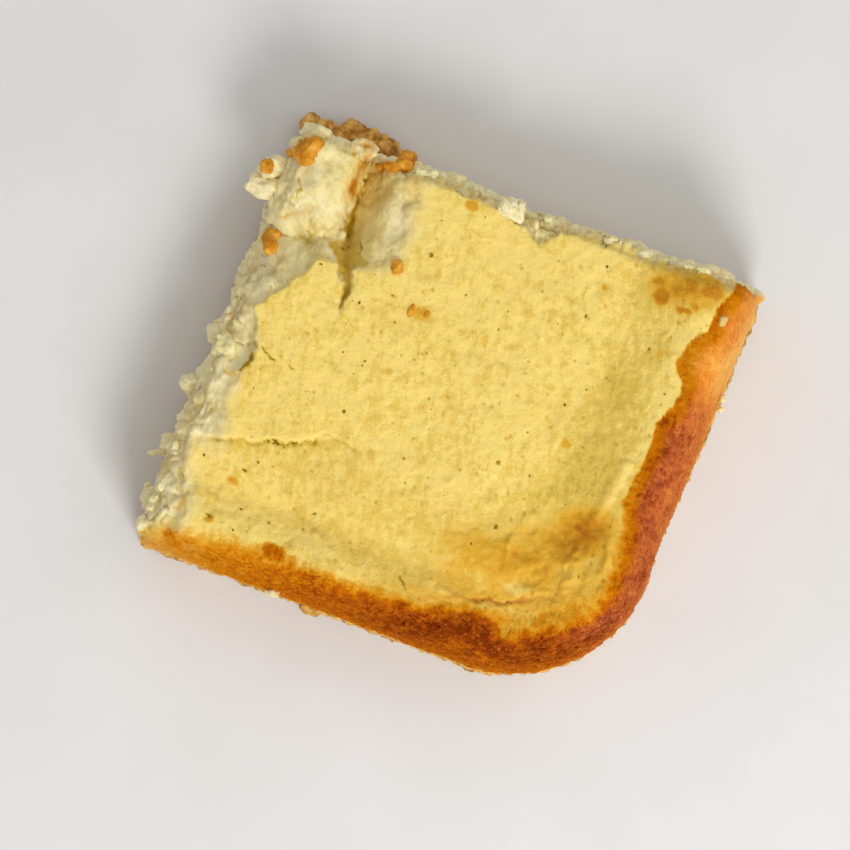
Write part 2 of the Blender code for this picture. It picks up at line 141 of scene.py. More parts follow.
# Cracks in the skin, with their depth and how dark they are painted, as painted shade in the gap.
CRACKS = (
    (((-45.5, -22), (-44, -21.7), (-38.5, -20.5), (-36.5, -20.4), (-34, -19)), 0.45, 0.5, 0.56),
    (((-35, -19.1), (-33, -18.7), (-31, -18), (-28.7, -17), (-26.5, -16), (-25, -14.9)), 0.45, 0.8, 0.72),
    (((-34.5, -18.9), (-34, -18.8)), 0.3, 0.5, 0.95), (((-33.3, -18.7), (-32.5, -18.5)), 0.3, 0.5, 0.95),
    (((-29.1, -17.2), (-28.5, -16.9)), 0.35, 0.5, 0.95),
    (((-25, -14.9), (-24.2, -13.6), (-22.5, -13), (-19.5, -13.1), (-16.5, -13.8)), 0.45, 0.4, 0.45),
    (((20, -34.4), (22.2, -34), (24.2, -34.2), (24.6, -33.4), (26.5, -32.2), (29.8, -30.5)), 0.5, 0.5, 0),
    (((30, -30.4), (32.4, -29.4), (34.6, -28.8)), 0.4, 0.2, 0), (((2, -33.4), (2.8, -34.6)), 0.35, 0.4, 0.4),
    (((2.2, -35.4), (3, -36.8), (4.2, -37.8)), 0.4, 0.4, 0.76),
    (((4.2, -37.8), (7, -39), (10.5, -38.2), (15, -36.6), (18, -35), (20, -34.4)), 0.6, 0.3, 0),
    (((-43, -1), (-40.4, -1.7), (-38.8, -2.3)), 0.4, 0.5, 0.82),
    (((-35.2, -2.2), (-34.2, -3.1)), 0.3, 0.3, 0.7), (((26, -35), (27.6, -36.6)), 0.4, 0.3, 0),
    (((30.4, 22.8), (32, 22.6)), 0.3, 0.2, 0.3), (((32.6, 17.6), (33.8, 17.4)), 0.3, 0.2, 0.4),
    (((40.6, 22), (41.8, 21.7)), 0.3, 0.2, 0.4),
)

# Small folds and ridges of the skin.
RIDGES = (
    (((38.6, 3), (37.8, -3), (36.6, -10)), 1.8, 0.6),
    (((35.2, -17.4), (34.4, -19), (34.8, -20.6), (33.8, -22.2)), 0.8, 0.8),
    (((21.6, -20), (21.2, -22), (21.5, -24.2)), 0.8, 0.7),
    (((24, -12), (22.6, -14.5), (22.4, -17), (23.2, -18.6)), 0.9, 0.25),
    (((26, -9), (25.4, -11.6)), 0.8, 0.4), (((41, -14), (42.2, -19), (43.2, -24)), 1.6, 0.9),
    (((36, -20), (36.2, -23), (34.6, -26.5)), 1.4, 0.9),
    (((22.4, -30.4), (25.5, -30.4), (29, -29.2)), 2.2, 0.6),
    (((29.5, -29.4), (31.4, -28.8), (33.6, -27.8)), 0.8, 0.4), (((36, 25), (37.5, 24)), 1, 0.4),
    (((36.2, 31.6), (36.4, 29)), 0.8, 0.4), (((30.4, 23.2), (32.2, 23)), 0.9, 0.5),
    (((-18, -33.6), (-15.8, -34.4), (-14, -36)), 1.6, 0.6), (((8, -33), (11, -35.4), (14.8, -36)), 1.2, 0.5),
    (((-45, -33.2), (-40, -34.4), (-36, -34)), 1.2, 0.35),
)

# The cut sides.
CUT_LEAN = 2.8
CRUMBLE_DEPTH = 2.0
CUT_ROUND, CUT_DROP = 1.6, 1.12
CUT_WAVES = ((0.88, 7.5), (0.48, 3.8))
CRUMBLED_CORNER = (-54, 49, 8, 8, 2.6)
TOASTED_REACH, TOASTED_EDGE = 4.5, (0.08, 0.16)
REACH_RAGGEDNESS = ((0.3, 2.6), (0.3, 1))
# The cut sides grow whiter with depth: creamier curd, and painted light on their shaded faces.
WALL_WHITENESS, WHITENING_DEPTH = 0.8, 2.5

# The toasted rim's inner edge, from the back right round to the front left: x, y and softness, and how dark
# the rim is at that edge, in its middle and at its outer side.
TOAST_EDGE = (
    (47, 52, 0.4, 0.4, 0.38, 0.3), (46.5, 45, 0.4, 0.44, 0.36, 0.24), (45.4, 41, 0.4, 0.5, 0.36, 0.2),
    (44.7, 38, 0.4, 0.54, 0.4, 0.18), (44.9, 35.2, 0.4, 0.5, 0.38, 0.18), (43, 33.2, 0.4, 0.46, 0.34, 0.18),
    (41.8, 30.2, 0.5, 0.42, 0.32, 0.19), (41, 27, 0.5, 0.4, 0.32, 0.22), (41.6, 24.8, 0.5, 0.4, 0.36, 0.26),
    (43.6, 23.4, 0.4, 0.42, 0.42, 0.32), (43.8, 21, 0.3, 0.46, 0.48, 0.42), (43.3, 18, 0.3, 0.48, 0.56, 0.52),
    (42, 15, 0.3, 0.5, 0.6, 0.58), (41.3, 13, 0.3, 0.52, 0.62, 0.6), (41.7, 10, 0.3, 0.54, 0.66, 0.62),
    (41.8, 7, 0.4, 0.5, 0.68, 0.62), (41, 1, 0.8, 0.42, 0.7, 0.62), (40.6, -5, 1.2, 0.4, 0.7, 0.62),
    (42.6, -10, 3, 0.44, 0.66, 0.62), (43.6, -16, 3.2, 0.46, 0.66, 0.64), (43.6, -21, 3.6, 0.46, 0.7, 0.66),
    (43.4, -25, 4.2, 0.36, 0.76, 0.76), (40.8, -29, 7, 0.34, 0.82, 0.84), (37, -32.4, 8, 0.36, 0.85, 0.85),
    (33.6, -34.8, 7, 0.44, 0.87, 0.83), (30.4, -36.8, 6.5, 0.5, 0.92, 0.84),
    (28.8, -37.8, 6, 0.42, 0.92, 0.82), (26.6, -38.6, 6, 0.42, 0.92, 0.78),
    (24.6, -37.6, 5, 0.54, 0.98, 0.72), (22, -36.8, 4, 0.6, 0.98, 0.72), (18, -36.8, 3.4, 0.58, 0.98, 0.76),
    (14, -38, 3.4, 0.56, 0.98, 0.82), (8, -39.8, 3.2, 0.5, 0.94, 0.88), (0, -40.8, 3.2, 0.52, 0.82, 0.84),
    (-10, -41, 3.4, 0.46, 0.68, 0.72), (-18, -40.8, 3.6, 0.36, 0.62, 0.68),
    (-26, -40.8, 3.8, 0.3, 0.54, 0.64), (-35, -41, 4.2, 0.26, 0.46, 0.54), (-41, -42.6, 4.4, 0.22, 0.4, 0.44),
    (-46, -42.8, 4.4, 0.26, 0.46, 0.52), (-51, -44, 4, 0.1, 0.24, 0.3), (-60, -45, 4, 0.06, 0.14, 0.2),
)
TOAST_BAND = 8.0
TOAST_UNEVENNESS = ((0.13, 3.4), (0.1, 1.3))
# Where the rim gets a painted pink sheen: the start and fade of the share across the band, and of x and of y.
ROSY_SHARE, ROSY_X, ROSY_Y = (0.26, 0.3), (30.0, 10.0), (-40.0, 10.0)
# Where the front and the corner get fuller speckles of toast and painted glints: the y where they start, and
# their fade.
SPECKLED_START, SPECKLED_FADE = -20.0, 12.0

# How the toast evens out and pales down the baked walls: the reach and share, and the drop where each starts.
WALL_EVENNESS, EVEN_DROP = 14.0, (0.22, 0.35)
WALL_PALING, PALING_DROP = 0.22, (0.35, 0.65)
TORN_RIM_DROP = 0.1

# Soft golden-brown patches, which add up, and are paler where the strength is below 0: those are painted
# highlights.
GOLDEN_PATCHES = (
    (27, -26.5, 17, 9, 0.16), (19, -24.4, 9.5, 2.8, 0.16), (15, -27, 7, 2.4, 0.08), (28, -23.6, 5, 2.2, 0.12),
    (35, -29, 10, 7, 0.16), (18, -30.5, 9, 3.6, 0.14), (-12, -32.5, 26, 2.8, 0.09), (0, -22, 42, 5, 0.05),
    (34.4, -12.4, 4.2, 3.6, 0.6), (33.4, -16, 6, 4, 0.28), (29, -18, 7, 4, 0.12), (40, -12, 4, 4, 0.14),
    (37, -4, 3, 8, 0.08), (40, -22, 2.5, 8, 0.08), (36, -30, 7, 3, 0.12), (18, -34.5, 8, 2.2, 0.1),
    (5, -38, 8, 2.4, 0.16), (38, 42.6, 7, 3.6, 0.44), (33.5, 39.6, 3.4, 2.6, 0.2),
    (-13.6, 17.6, 2.8, 1.5, 0.36), (-24.6, 42.4, 1.8, 2.8, 0.24), (33.6, -23.6, 2.2, 2.8, -0.1),
    (25.6, -29.6, 4, 1.5, -0.28), (42, -18, 1.4, 6, 0.16), (39, -18.5, 1.2, 2.4, -0.14),
    (17.5, -30.5, 2.6, 2.2, -0.12), (25.6, -36, 1.8, 2.4, -0.14), (-31.6, 38.2, 1.2, 1.1, 0.3),
    (-36.8, 38.6, 1.2, 2.9, 0.72), (-35.8, 43.6, 1.2, 2, 0.62), (-45.5, 19, 1.2, 3, 0.18),
    (-41.5, 27.6, 1.6, 1, 0.2), (-47.5, 28, 1.6, 1.4, 0.2), (-47, 37.4, 1.6, 1, 0.25),
    (-37, 47.6, 1.9, 1.5, 0.5), (-36, 45.6, 1, 1, 0.2), (-48.2, -44.6, 2.2, 2.4, 0.25),
)

# Toasted haze of the skin inside the rim, and toasted spots beside the rim.
TOAST_HAZES = (
    (39, -29, 4, 5, 0.13), (35, -32, 6, 4, 0.16), (43, -18, 1.8, 9, 0.12), (26, -36.6, 4, 2.2, 0.14),
    (15, -37.4, 8, 1.8, 0.12), (0, -40, 9, 1.6, 0.1),
)
TOAST_SPOTS = ((-24.8, -40.6, 2.8, 2.2, 0.5), (-46.5, -45, 2.4, 1.8, 0.4))

# Golden-brown spots with sharper edges, and golden-brown lines.
GOLDEN_SPOTS = (
    (42.6, 43.6, 3.8, 2.4, 0.58), (37.6, 43.2, 3.2, 2.2, 0.54), (33.2, 39, 2.2, 2, 0.66),
    (38.4, 37.8, 1.9, 1.1, 0.62), (40.2, 39.4, 1.1, 1, 0.56), (31.4, 41.8, 1.7, 1, 0.56),
    (21, 36.8, 0.8, 0.9, 0.42), (-15.8, 17.6, 0.7, 1.4, 0.5), (-12, 18.2, 0.5, 0.8, 0.42),
    (-11.5, 43.2, 1.6, 1.1, 0.42), (-38.3, -29.3, 1.2, 1, 0.46), (-46.8, -8, 1.4, 0.9, 0.34),
    (-15.8, 4, 1, 1, 0.16), (25, 2.6, 1.2, 1, 0.3), (1.3, 17.6, 0.8, 1.4, 0.16), (26.8, 37.2, 1.1, 1.5, 0.14),
    (37, 27.4, 1, 1.6, 0.2), (-39.8, -38.6, 1.2, 0.8, 0.5), (-46.8, -37.6, 0.6, 2, 0.36),
)
GOLDEN_LINES = (
    (((7, -38.6), (14.5, -36.2), (19.8, -34.5)), 0.9, 0.66),
    (((18, -35), (22, -33.9), (24.2, -34), (26.5, -32.2), (30, -30.4)), 0.6, 1),
    (((30, -30.4), (34.6, -28.6)), 0.55, 0.8), (((22.4, -33.9), (24, -33.9)), 0.5, 1.6),
    (((25.4, -34.4), (27.8, -37)), 0.6, 0.7),
)
PATCH_RAGGEDNESS = ((0.5, 2.5), (0.25, 0.9))
PATCHINESS = ((0.35, 1.4), (0.25, 3.6))
SPOT_GAIN, SPOT_CUT = 1.7, 0.3

# Olive colour of torn curd in the cleft with painted shade: its dark bottom line and dots and its darker walls.
CURD_STAINS = (
    (((-35, 42.4), (-34.9, 39), (-34.6, 36)), 0.9, 0.66),
    (((-35, 38), (-34.6, 33), (-34.4, 28.6)), 1.1, 0.76), (((-35.6, 41), (-35.3, 40.4)), 0.6, 0.95),
    (((-33.4, 44), (-33, 36), (-32.6, 29)), 2.8, 0.4), (((-29.6, 42), (-29.2, 34), (-28.6, 27)), 3, 0.26),
    (((-31.3, 28.4), (-30.8, 27.2), (-30.7, 25.6)), 0.5, 0.72), (((-34.6, 25.6), (-34.3, 25.7)), 0.45, 0.95),
    (((-33.6, 26.3), (-33.3, 26.2)), 0.45, 0.95),
)

# Floors of the notch, with sharp edges, painted golden-olive as their shade: outline and strength.
STAINED_FLOORS = (
    (((-37.2, 25.2), (-36.6, 24), (-35.8, 23.8), (-34.4, 22.5), (-33.7, 21.4), (-33.5, 20.1), (-32.4, 19.7),
     (-31.2, 18.6), (-30.8, 16.6), (-30.2, 12.2), (-29.6, 13.6), (-29.2, 16), (-29, 18), (-30, 20),
     (-30.4, 22), (-33.2, 23.4), (-35.4, 25.4)), 0.58),
    (((-37.3, 25.4), (-35, 23.2), (-33.8, 21.5), (-30.4, 22), (-27.6, 23.4), (-27, 24.6), (-29.6, 25.2),
     (-30.6, 26), (-30.9, 27.6), (-31.4, 28.2), (-32.6, 28), (-32.8, 30), (-34.6, 30), (-34.3, 27.6),
     (-35.4, 27), (-36.6, 26.4)), 0.52),
)

# Golden-olive stains, as in cracks.
STAINS = (
    (((-44.1, -3), (-44.2, -5), (-44.5, -6.6)), 0.9, 0.8), (((-43.7, -5.6), (-43.4, -5.5)), 0.6, 0.85),
    (((-47.8, -16.8), (-47.6, -17.8)), 0.7, 0.7), (((-51.2, 36.6), (-50.8, 33.2), (-51.4, 31.2)), 0.4, 0.75),
    (((-47.6, 35.6), (-46.8, 34.2), (-46.4, 31.6)), 0.35, 0.6), (((-47.8, 27.6), (-46.6, 28.6)), 0.6, 0.5),
    (((-43.6, 24.4), (-41.6, 24.8), (-40.6, 26.4)), 0.5, 0.5),
    (((-39.9, 46.5), (-39.2, 45.2), (-38.4, 44.8)), 0.4, 0.6),
    (((-46.8, -34.5), (-46, -37.5), (-45.6, -41)), 0.7, 0.45), (((-49.6, -31), (-49, -33)), 0.8, 0.35),
    (((-41.2, -38.1), (-39.6, -38.2)), 0.5, 0.8), (((-44.6, -33.8), (-43.4, -34)), 0.6, 0.4),
    (((-41.2, -33.4), (-40.6, -33.2)), 0.6, 0.4), (((0.6, 14), (1.4, 13.2)), 1.6, 0.2),
    (((1, 16.4), (1.6, 15.6)), 0.5, 0.5), (((15.6, 31.8), (16.6, 31.6)), 0.9, 0.3),
    (((29, 19.6), (29.6, 18.4)), 0.9, 0.22), (((42.6, 34.8), (42.9, 33.8)), 0.5, 0.4),
    (((12.6, -6), (13.2, -5.9)), 0.5, 0.45), (((6, 11.6), (6.6, 11.2)), 0.9, 0.18),
    (((5, 7.8), (5.6, 6.6)), 0.5, 0.3), (((25.6, -11.2), (25.8, -10.8)), 0.6, 0.4),
)

# Where the skin's yellow is deep, or paler if below 0: partly its own tone, partly painted shade on the slopes
# that rise to the rim and in the front trough, and painted highlights on folds where below 0.
DEEPER_PATCHES = (
    (-18, -31.5, 34, 3.4, 0.06), (0, -24, 46, 7, 0.15), (33, 14, 6, 24, 0.42), (31, -10, 9, 14, 0.45),
    (5, -36, 9, 3, 0.3), (34, 41, 7, 6, 0.35), (22, -14, 8, 6, 0.25), (33.6, -23.6, 2.4, 3, -0.15),
    (25.6, -29.9, 4.4, 1.8, -0.45),
)
# Painted light along lines: a painted highlight on the step's upper edge with painted shade below it, and
# painted highlights, below 0, along the rim's inner edge and on ridges and folds.
DEEPER_LINES = (
    (((-50, -22), (-44, -20.8), (-38.5, -19.6), (-34, -18.2), (-29, -16.4), (-25, -14.4), (-22, -12.4)),
     1, -0.5),
    (((-48, -23.6), (-38.5, -21.6), (-29, -18.6), (-23, -14.4)), 1.8, 0.3),
    (((45, 43), (44, 38), (44, 35), (42, 32.5), (40.6, 30)), 1.8, -0.6),
    (((40.2, 27), (41, 24.6), (42.6, 22.6), (42.8, 20), (42.2, 17), (40.8, 14.5), (40.4, 12)), 1.8, -0.6),
    (((38.6, 3), (37.8, -3), (36.6, -10)), 2, -0.7), (((40.2, -13), (41.6, -18), (43.4, -24)), 1, -0.3),
    (((34.6, -18), (35.6, -22), (35.8, -25.4)), 1, -0.35),
    (((21, -29.8), (25, -29), (29, -29.2)), 1.6, -0.25), (((-20, -36), (-14, -35)), 2.6, -0.4),
)

# Curd lumps that stand out of the filling: centre, half sizes and whiteness, which on the shaded left side is
# raised as painted light.
CURD_LUMPS = (
    ((-53.4, 32.5, 22.5), (4.7, 2.9, 3.4), 0.9), ((-53.6, 36.8, 22.8), (3.5, 2.8, 3.2), 0.8),
    ((-47.6, 46.4, 25.6), (3.6, 2.2, 2.8), 0.8), ((-37.2, 46.8, 27), (3, 2.4, 4.2), 0.8),
    ((-46.5, 33, 26), (3.2, 4.4, 3.2), 0.3), ((-52.8, -0.4, 21), (2.8, 2.7, 3), 1),
    ((-53.8, -12.7, 21), (3.2, 2.4, 2.8), 1), ((-53.8, -26, 19.5), (2.8, 2.3, 2.6), 0.8),
    ((-55.4, -28.4, 18.5), (1.2, 0.7, 0.7), 1), ((-56.5, -28.9, 18.7), (0.9, 0.5, 0.5), 1),
    ((-57.3, -29.4, 18.8), (0.8, 0.5, 0.5), 1), ((-55.8, -36.6, 17.5), (0.6, 1.1, 0.7), 1),
    ((-55.2, -38, 17.5), (0.8, 1.3, 0.9), 1), ((-54.6, -40, 17.5), (0.7, 1.3, 0.9), 1),
    ((-53.8, -38.3, 18), (2.4, 2.7, 3), 1), ((-49.2, -3.6, 26.4), (3, 3.6, 2.6), 0.4),
    ((-51, -31, 23.5), (2.4, 2.8, 2.6), 0.4), ((-3.2, 45.1, 30.8), (3.3, 2.8, 2), 1),
    ((43.4, 47.4, 30.6), (2.7, 1.9, 2.2), 1), ((-17, 45.8, 26), (3.6, 3, 2.8), 0.5),
    ((24, 46, 22), (3.8, 2.9, 2.8), 0.3),
)

# Crumbs of the base that lie on the filling: plan point, half sizes and the middle's height above the surface.
CRUMBS_ON_TOP = (
    ((-49.4, 42), (2.4, 2, 1.7), 0.2), ((-51, 40.9), (1.9, 1.1, 1.4), 0.3),
    ((-47.9, 42.9), (2.3, 2, 1.6), 0.2), ((-46.8, 44.2), (1.6, 1.6, 1.3), 0.2),
    ((-48, 40.6), (2.2, 1.8, 1.2), 0.2), ((-55.3, 36.5), (1.5, 1.9, 1), 0.1),
    ((-49.1, 22.4), (2, 2, 1.3), 0.3), ((-48.7, 20.4), (1.5, 1.7, 1.2), 0.3),
    ((-21.6, 25.2), (1.4, 1.6, 0.9), 0.1), ((-15.6, 17.8), (0.8, 1.4, 0.5), 0),
    ((-12.2, 18.2), (0.6, 0.9, 0.4), 0), ((-31.8, 45), (2.2, 1, 1.1), 0.2),
    ((-29.8, 45.4), (2.4, 1.3, 1.3), 0.3), ((-28, 46.6), (2, 1.9, 1.8), 0.6),
    ((-27.8, 48.4), (1.9, 1.8, 2.4), 3),
)
CRUMB_VOXEL, CRUMB_SMOOTHINGS = 0.2, 2

# The lengths of the swells that make a lump uneven. Then the bits of curd: those on the baked sides by centre
# and half sizes, the one on the rim by plan point and half sizes, and the number of those scattered left and at
# the back, with the spans that they lie in.
LUMP_LENGTHS = (0.9, 0.45)
BITS_ON_SIDES = (
    ((53.1, 24.2, 20), (0.7, 1, 0.9)), ((53.3, 21.9, 20), (0.9, 0.8, 0.7)),
    ((-22.3, -48.3, 18), (1.1, 0.8, 1)), ((-23.4, -48.6, 16), (0.8, 0.6, 0.7)),
)
BIT_ON_RIM = ((46.9, 38.3), (0.85, 1.25, 0.45))
BITS_LEFT, BITS_BACK, BITS_LEFT_SPAN, BITS_BACK_SPAN = 14, 34, (-45.0, 26.0), (-25.0, 46.0)

# The base's form, the depth, size and seed of its grains, and its coarse crumbs: centre and half sizes.
BASE_CORNER_RADIUS = 2.4
BASE_EDGE_ROUND = 1.2
BASE_SPACING, BASE_ROWS = 0.5, 14
BASE_GRAINS = ((1.3, 2.2, 101), (0.6, 1.0, 102))
BASE_CRUMBS = (
    ((-50.9, 49.8, 3.8), (2.4, 3.2, 2.6)), ((-47.4, 50.2, 3.6), (2.3, 2.6, 2.7)),
    ((-44.4, 50, 3.4), (2.4, 2.6, 2.6)), ((-42, 52.2, 4), (2.8, 2.4, 3)), ((-38, 51.4, 3.9), (2.8, 2.6, 2.9)),
    ((-34.2, 51, 3.7), (2.7, 2.6, 2.8)), ((-31, 49.6, 3.5), (2.4, 2.4, 2.6)),
    ((-27.2, 48.4, 3.3), (2.2, 2.2, 2.4)), ((11, 47.6, 3.4), (2.8, 1.9, 2.4)),
    ((31.8, 47.8, 3.6), (2.4, 2.1, 2.4)), ((39, 47.6, 3.2), (2.5, 1.9, 2.3)),
    ((-53, 12, 3.3), (1.8, 2.6, 2.4)), ((-53.4, -18.6, 3.2), (1.9, 2.4, 2.3)),
    ((-14, -48.4, 3.2), (2.6, 1.7, 2.2)), ((22, -47.7, 3.2), (3, 1.6, 2.2)),
    ((40, -39.6, 3.2), (2.6, 1.9, 2.2)),
)

# The larger vanilla specks: plan point and size. Smaller ones are scattered.
NAMED_SPECKS = (
    (-15.7, 30.3, 0.4), (20, 41, 0.36), (19.5, 29.5, 0.34), (21.8, 10.4, 0.36), (17.3, -19, 0.42),
    (13, -6, 0.46), (-36.8, -26.3, 0.42), (-34.7, -23.6, 0.3), (34.5, 27.6, 0.3), (20.1, -6.3, 0.3),
    (-26.5, 15.5, 0.3), (-18, 14.2, 0.28), (-37, 20.3, 0.28), (3.1, 20.5, 0.28), (31.7, -34.2, 0.32),
    (37.2, -22.8, 0.3), (-40.2, -38.1, 0.45), (-28, -35, 0.32), (-20.7, -33.8, 0.3), (-34.5, -34.3, 0.28),
    (-34.6, -39, 0.26), (-21.5, -7.2, 0.42), (-46, -26.2, 0.32), (-20.4, 19.4, 0.28), (-34.2, -18.9, 0.34),
    (-33, -18.6, 0.36), (-28.7, -17, 0.42), (40.7, 19.6, 0.24), (25, 15, 0.24), (-5.9, 25, 0.24),
    (3.7, 24.7, 0.22), (-21, 4.3, 0.3), (-21.2, 3.2, 0.24), (16.5, 2.2, 0.26), (28.6, 3.2, 0.22),
    (-4, -16.9, 0.22), (-19.6, -29.7, 0.34), (-38, -45.6, 0.3), (-35.8, -45.7, 0.24), (-6, -12.2, 0.26),
)
SCATTERED_SPECKS = 150

# Torn places that are smooth, and the start and fade of the crumbly strip along the back wall's top.
CALM_PATCHES = (
    (-42, 19, 6.5, 5.5, 1), (-29, 32, 6, 13, 1), (-39.5, 38, 4.2, 16, 1), (-34, 24, 5, 5, 1),
    (-46.5, -14, 3, 11, 0.8), (-46.5, -32, 3, 10, 0.8), (-46, 8, 3, 8, 0.6), (-30.6, 17, 3, 7, 1),
)
STRIP_X, STRIP_Y, STRIP_Z = (-33.0, 4.0), (43.0, 1.5), (TOP_LEVEL - 8.0, 5.0)

# Where torn curd is creamier, and painted light: lighter patches on the shaded left and back strips and on the
# cleft's flank. Then its bright edges, which are painted highlights.
CREAM_PATCHES = (
    (-25.2, 34, 2.8, 5.5, 0.6), (-47.5, 33, 4.5, 8, 0.6), (-47.5, -36, 2.5, 6, 0.5), (-48.6, 15, 3.6, 7, 0.9),
    (-44.5, 20, 3.6, 4, 0.35), (-49.6, -9, 4, 6, 0.8), (-49.6, -20, 4, 6, 0.9), (-50, 4, 4, 6, 0.6),
    (-51.5, -38, 5, 8, 0.9), (-51.5, -27, 4, 7, 0.6), (-51, 29, 3, 4, 0.4), (-47.5, 46.4, 4, 1.8, 0.8),
    (-22, 46.4, 3, 1.6, 0.5), (-14.5, 46.8, 3.6, 1.2, 0.4), (29, 46, 3, 1.2, 0.4),
)
CREAM_LENGTH = 2.4
CREAM_EDGES = (
    (((-37.9, 25.8), (-37.2, 23.8), (-35.6, 23), (-34.4, 21.4), (-34, 20), (-32.4, 19)), 0.7, 0.9),
    (((-46.6, 30.4), (-46, 33), (-46.8, 35.6), (-48.6, 37)), 0.9, 0.6),
    (((-51.6, 30.4), (-50.4, 33), (-50.8, 36.6)), 0.8, 0.6),
    (((-51, 45), (-48.6, 46.6), (-44.4, 48)), 1, 0.9),
)

# The relief of the curd, the skin and the toasted crust.
LARGE_PUFF, SMALL_PUFF, TINY_PUFF, PUFF_MIDDLE = 6.0, 2.6, 1.2, 0.4
WARP_DEPTH, WARP_LENGTH = 1.2, 3.4
CALMING = 0.75
CREVICE_SPACING, CREVICE_WIDTH, CREVICE_DEPTH = 7.5, 0.06, 0.7
SKIN_BUMPS = ((0.16, 4.5), (0.15, 2.0), (0.12, 1.1))
PIT_SPACING, PIT_SIZE, PIT_DEPTH = 2.6, 0.24, 0.25
CRUST_BUMPS = ((0.35, 3.4), (0.16, 1.2))
CRUST_PUFF, CRUST_PUFF_DEPTH, CRUSTY_TOAST = 1.6, 0.3, (0.2, 0.3)
WRINKLE_SPACING, WRINKLE_WIDTH, WRINKLE_DEPTH, WRINKLE_STRETCH = 1.2, 0.16, 0.4, 0.35
SMOOTHER_RIM_Y = (18.0, 8.0)
FOOT_FADE = 2.0

# The camera looks almost straight down. The target is a plan point with its height.
CAMERA_AZIMUTH, CAMERA_ELEVATION = 20.5, 87.0
CAMERA_TARGET = (-4.5, -3.6, 25.0)
CAMERA_DISTANCE = 1.1
VIEW_WIDTH = 0.181

# Square lights: name, direction, distance and size in metres, and power.
LIGHTS = (("key", (0.62, -0.8, 1.05), 0.9, 0.32, 4.4), ("fill", (0.5, 0.3, 1.0), 1.0, 0.9, 1.6))
WORLD_STRENGTH = 0.48
FLOOR_HALF = 1.5

STREAK_TURN, STREAK_STRETCH = math.radians(15.0), 2.6
FRECKLE_SPACING = 2.9

# The random tables of the noise, its gain and how soft the creases of its puffs are.
RIPPLE_GAIN = 1.7
CREASE_SOFTNESS = 0.07
TABLE_SIZE = 256
RANDOM = np.random.default_rng(11)
SHUFFLE = RANDOM.permutation(TABLE_SIZE)
GRADIENTS = RANDOM.normal(size=(TABLE_SIZE, 3))
GRADIENTS /= np.linalg.norm(GRADIENTS, axis=1)[:, None]
JITTERS = RANDOM.random((TABLE_SIZE, 3))
TURN = np.linalg.qr(RANDOM.normal(size=(3, 3)))[0]


def eased(value):
    """0 below 0, 1 above 1 and a smooth step between."""
    value = np.clip(value, 0.0, 1.0)
    return value * value * (3.0 - 2.0 * value)


def past(value, start, reach):
    """0 up to a start, 1 beyond its reach and a smooth step between."""
    return eased((value - start) / reach)


def between(first, second, share):
    """The value at a share of the way from a first one to a second."""
    return first + (second - first) * share


def largest(fields):
    """The largest of some values, and at least 0."""
    return functools.reduce(np.maximum, fields, 0.0)


def table_places(cells, seed):
    """A place in the random tables for each grid cell."""
    place = SHUFFLE[(cells[:, 0] + seed) % TABLE_SIZE]
    place = SHUFFLE[(cells[:, 1] + place) % TABLE_SIZE]
    return SHUFFLE[(cells[:, 2] + place) % TABLE_SIZE]


def ripple(points, length, seed):
    """Smooth noise from about -1 to 1, with features of the given length."""
    scaled = points @ TURN / length
    cells = np.floor(scaled).astype(int)
    local = scaled - cells
    fade = local ** 3 * (local * (local * 6.0 - 15.0) + 10.0)
    total = np.zeros(len(points))
    for corner in itertools.product((0, 1), repeat=3):
        gradient = GRADIENTS[table_places(cells + corner, seed)]
        weight = np.prod(np.where(corner, fade, 1.0 - fade), axis=1)
        total += weight * np.sum(gradient * (local - corner), axis=1)
    return total * RIPPLE_GAIN


def ripples(points, layers, seed):
    """The sum of ripples, each given by its height and length."""
    return sum(height * ripple(points, length, seed + i) for i, (height, length) in enumerate(layers))


def puffs(points, length, seed):
    """Puffy forms: 0 in the creases between them and about 1 at their tops."""
    return 2.0 * (np.hypot(ripple(points, length, seed), CREASE_SOFTNESS) - CREASE_SOFTNESS)


def creases(points, length, width, seed):
    """Thin winding lines: 1 along their middles and 0 beside them."""
    return eased(1.0 - np.abs(ripple(points, length, seed)) / width)


def grain_distance(points, size, seed):
    """The distance, in grain sizes, to the nearest of the scattered grain centres."""
    scaled = points / size
    cells = np.floor(scaled).astype(int)
    nearest = np.full(len(points), np.inf)
    for offset in itertools.product((-1, 0, 1), repeat=3):
        near = cells + offset
        centre = near + JITTERS[table_places(near, seed)]
        nearest = np.minimum(nearest, np.sum((centre - scaled) ** 2, axis=1))
    return np.sqrt(nearest)


def flat(x, y):
    """Plan points as points at height 0."""
    return np.stack([x, y, np.zeros_like(x)], axis=1)


def ragged(x, y, layers, *seeds):
    """Plan points moved by ripples, so that what is measured at them gets ragged edges."""
    return [value + ripples(flat(x, y), layers, seed) for value, seed in zip((x, y), seeds)]


def hill(x, y, middle_x, middle_y, reach_x, reach_y, height=1.0):
    """A height at a middle point, falling to 0 beyond the reach."""
    return height * np.exp(-((x - middle_x) / reach_x) ** 2 - ((y - middle_y) / reach_y) ** 2)


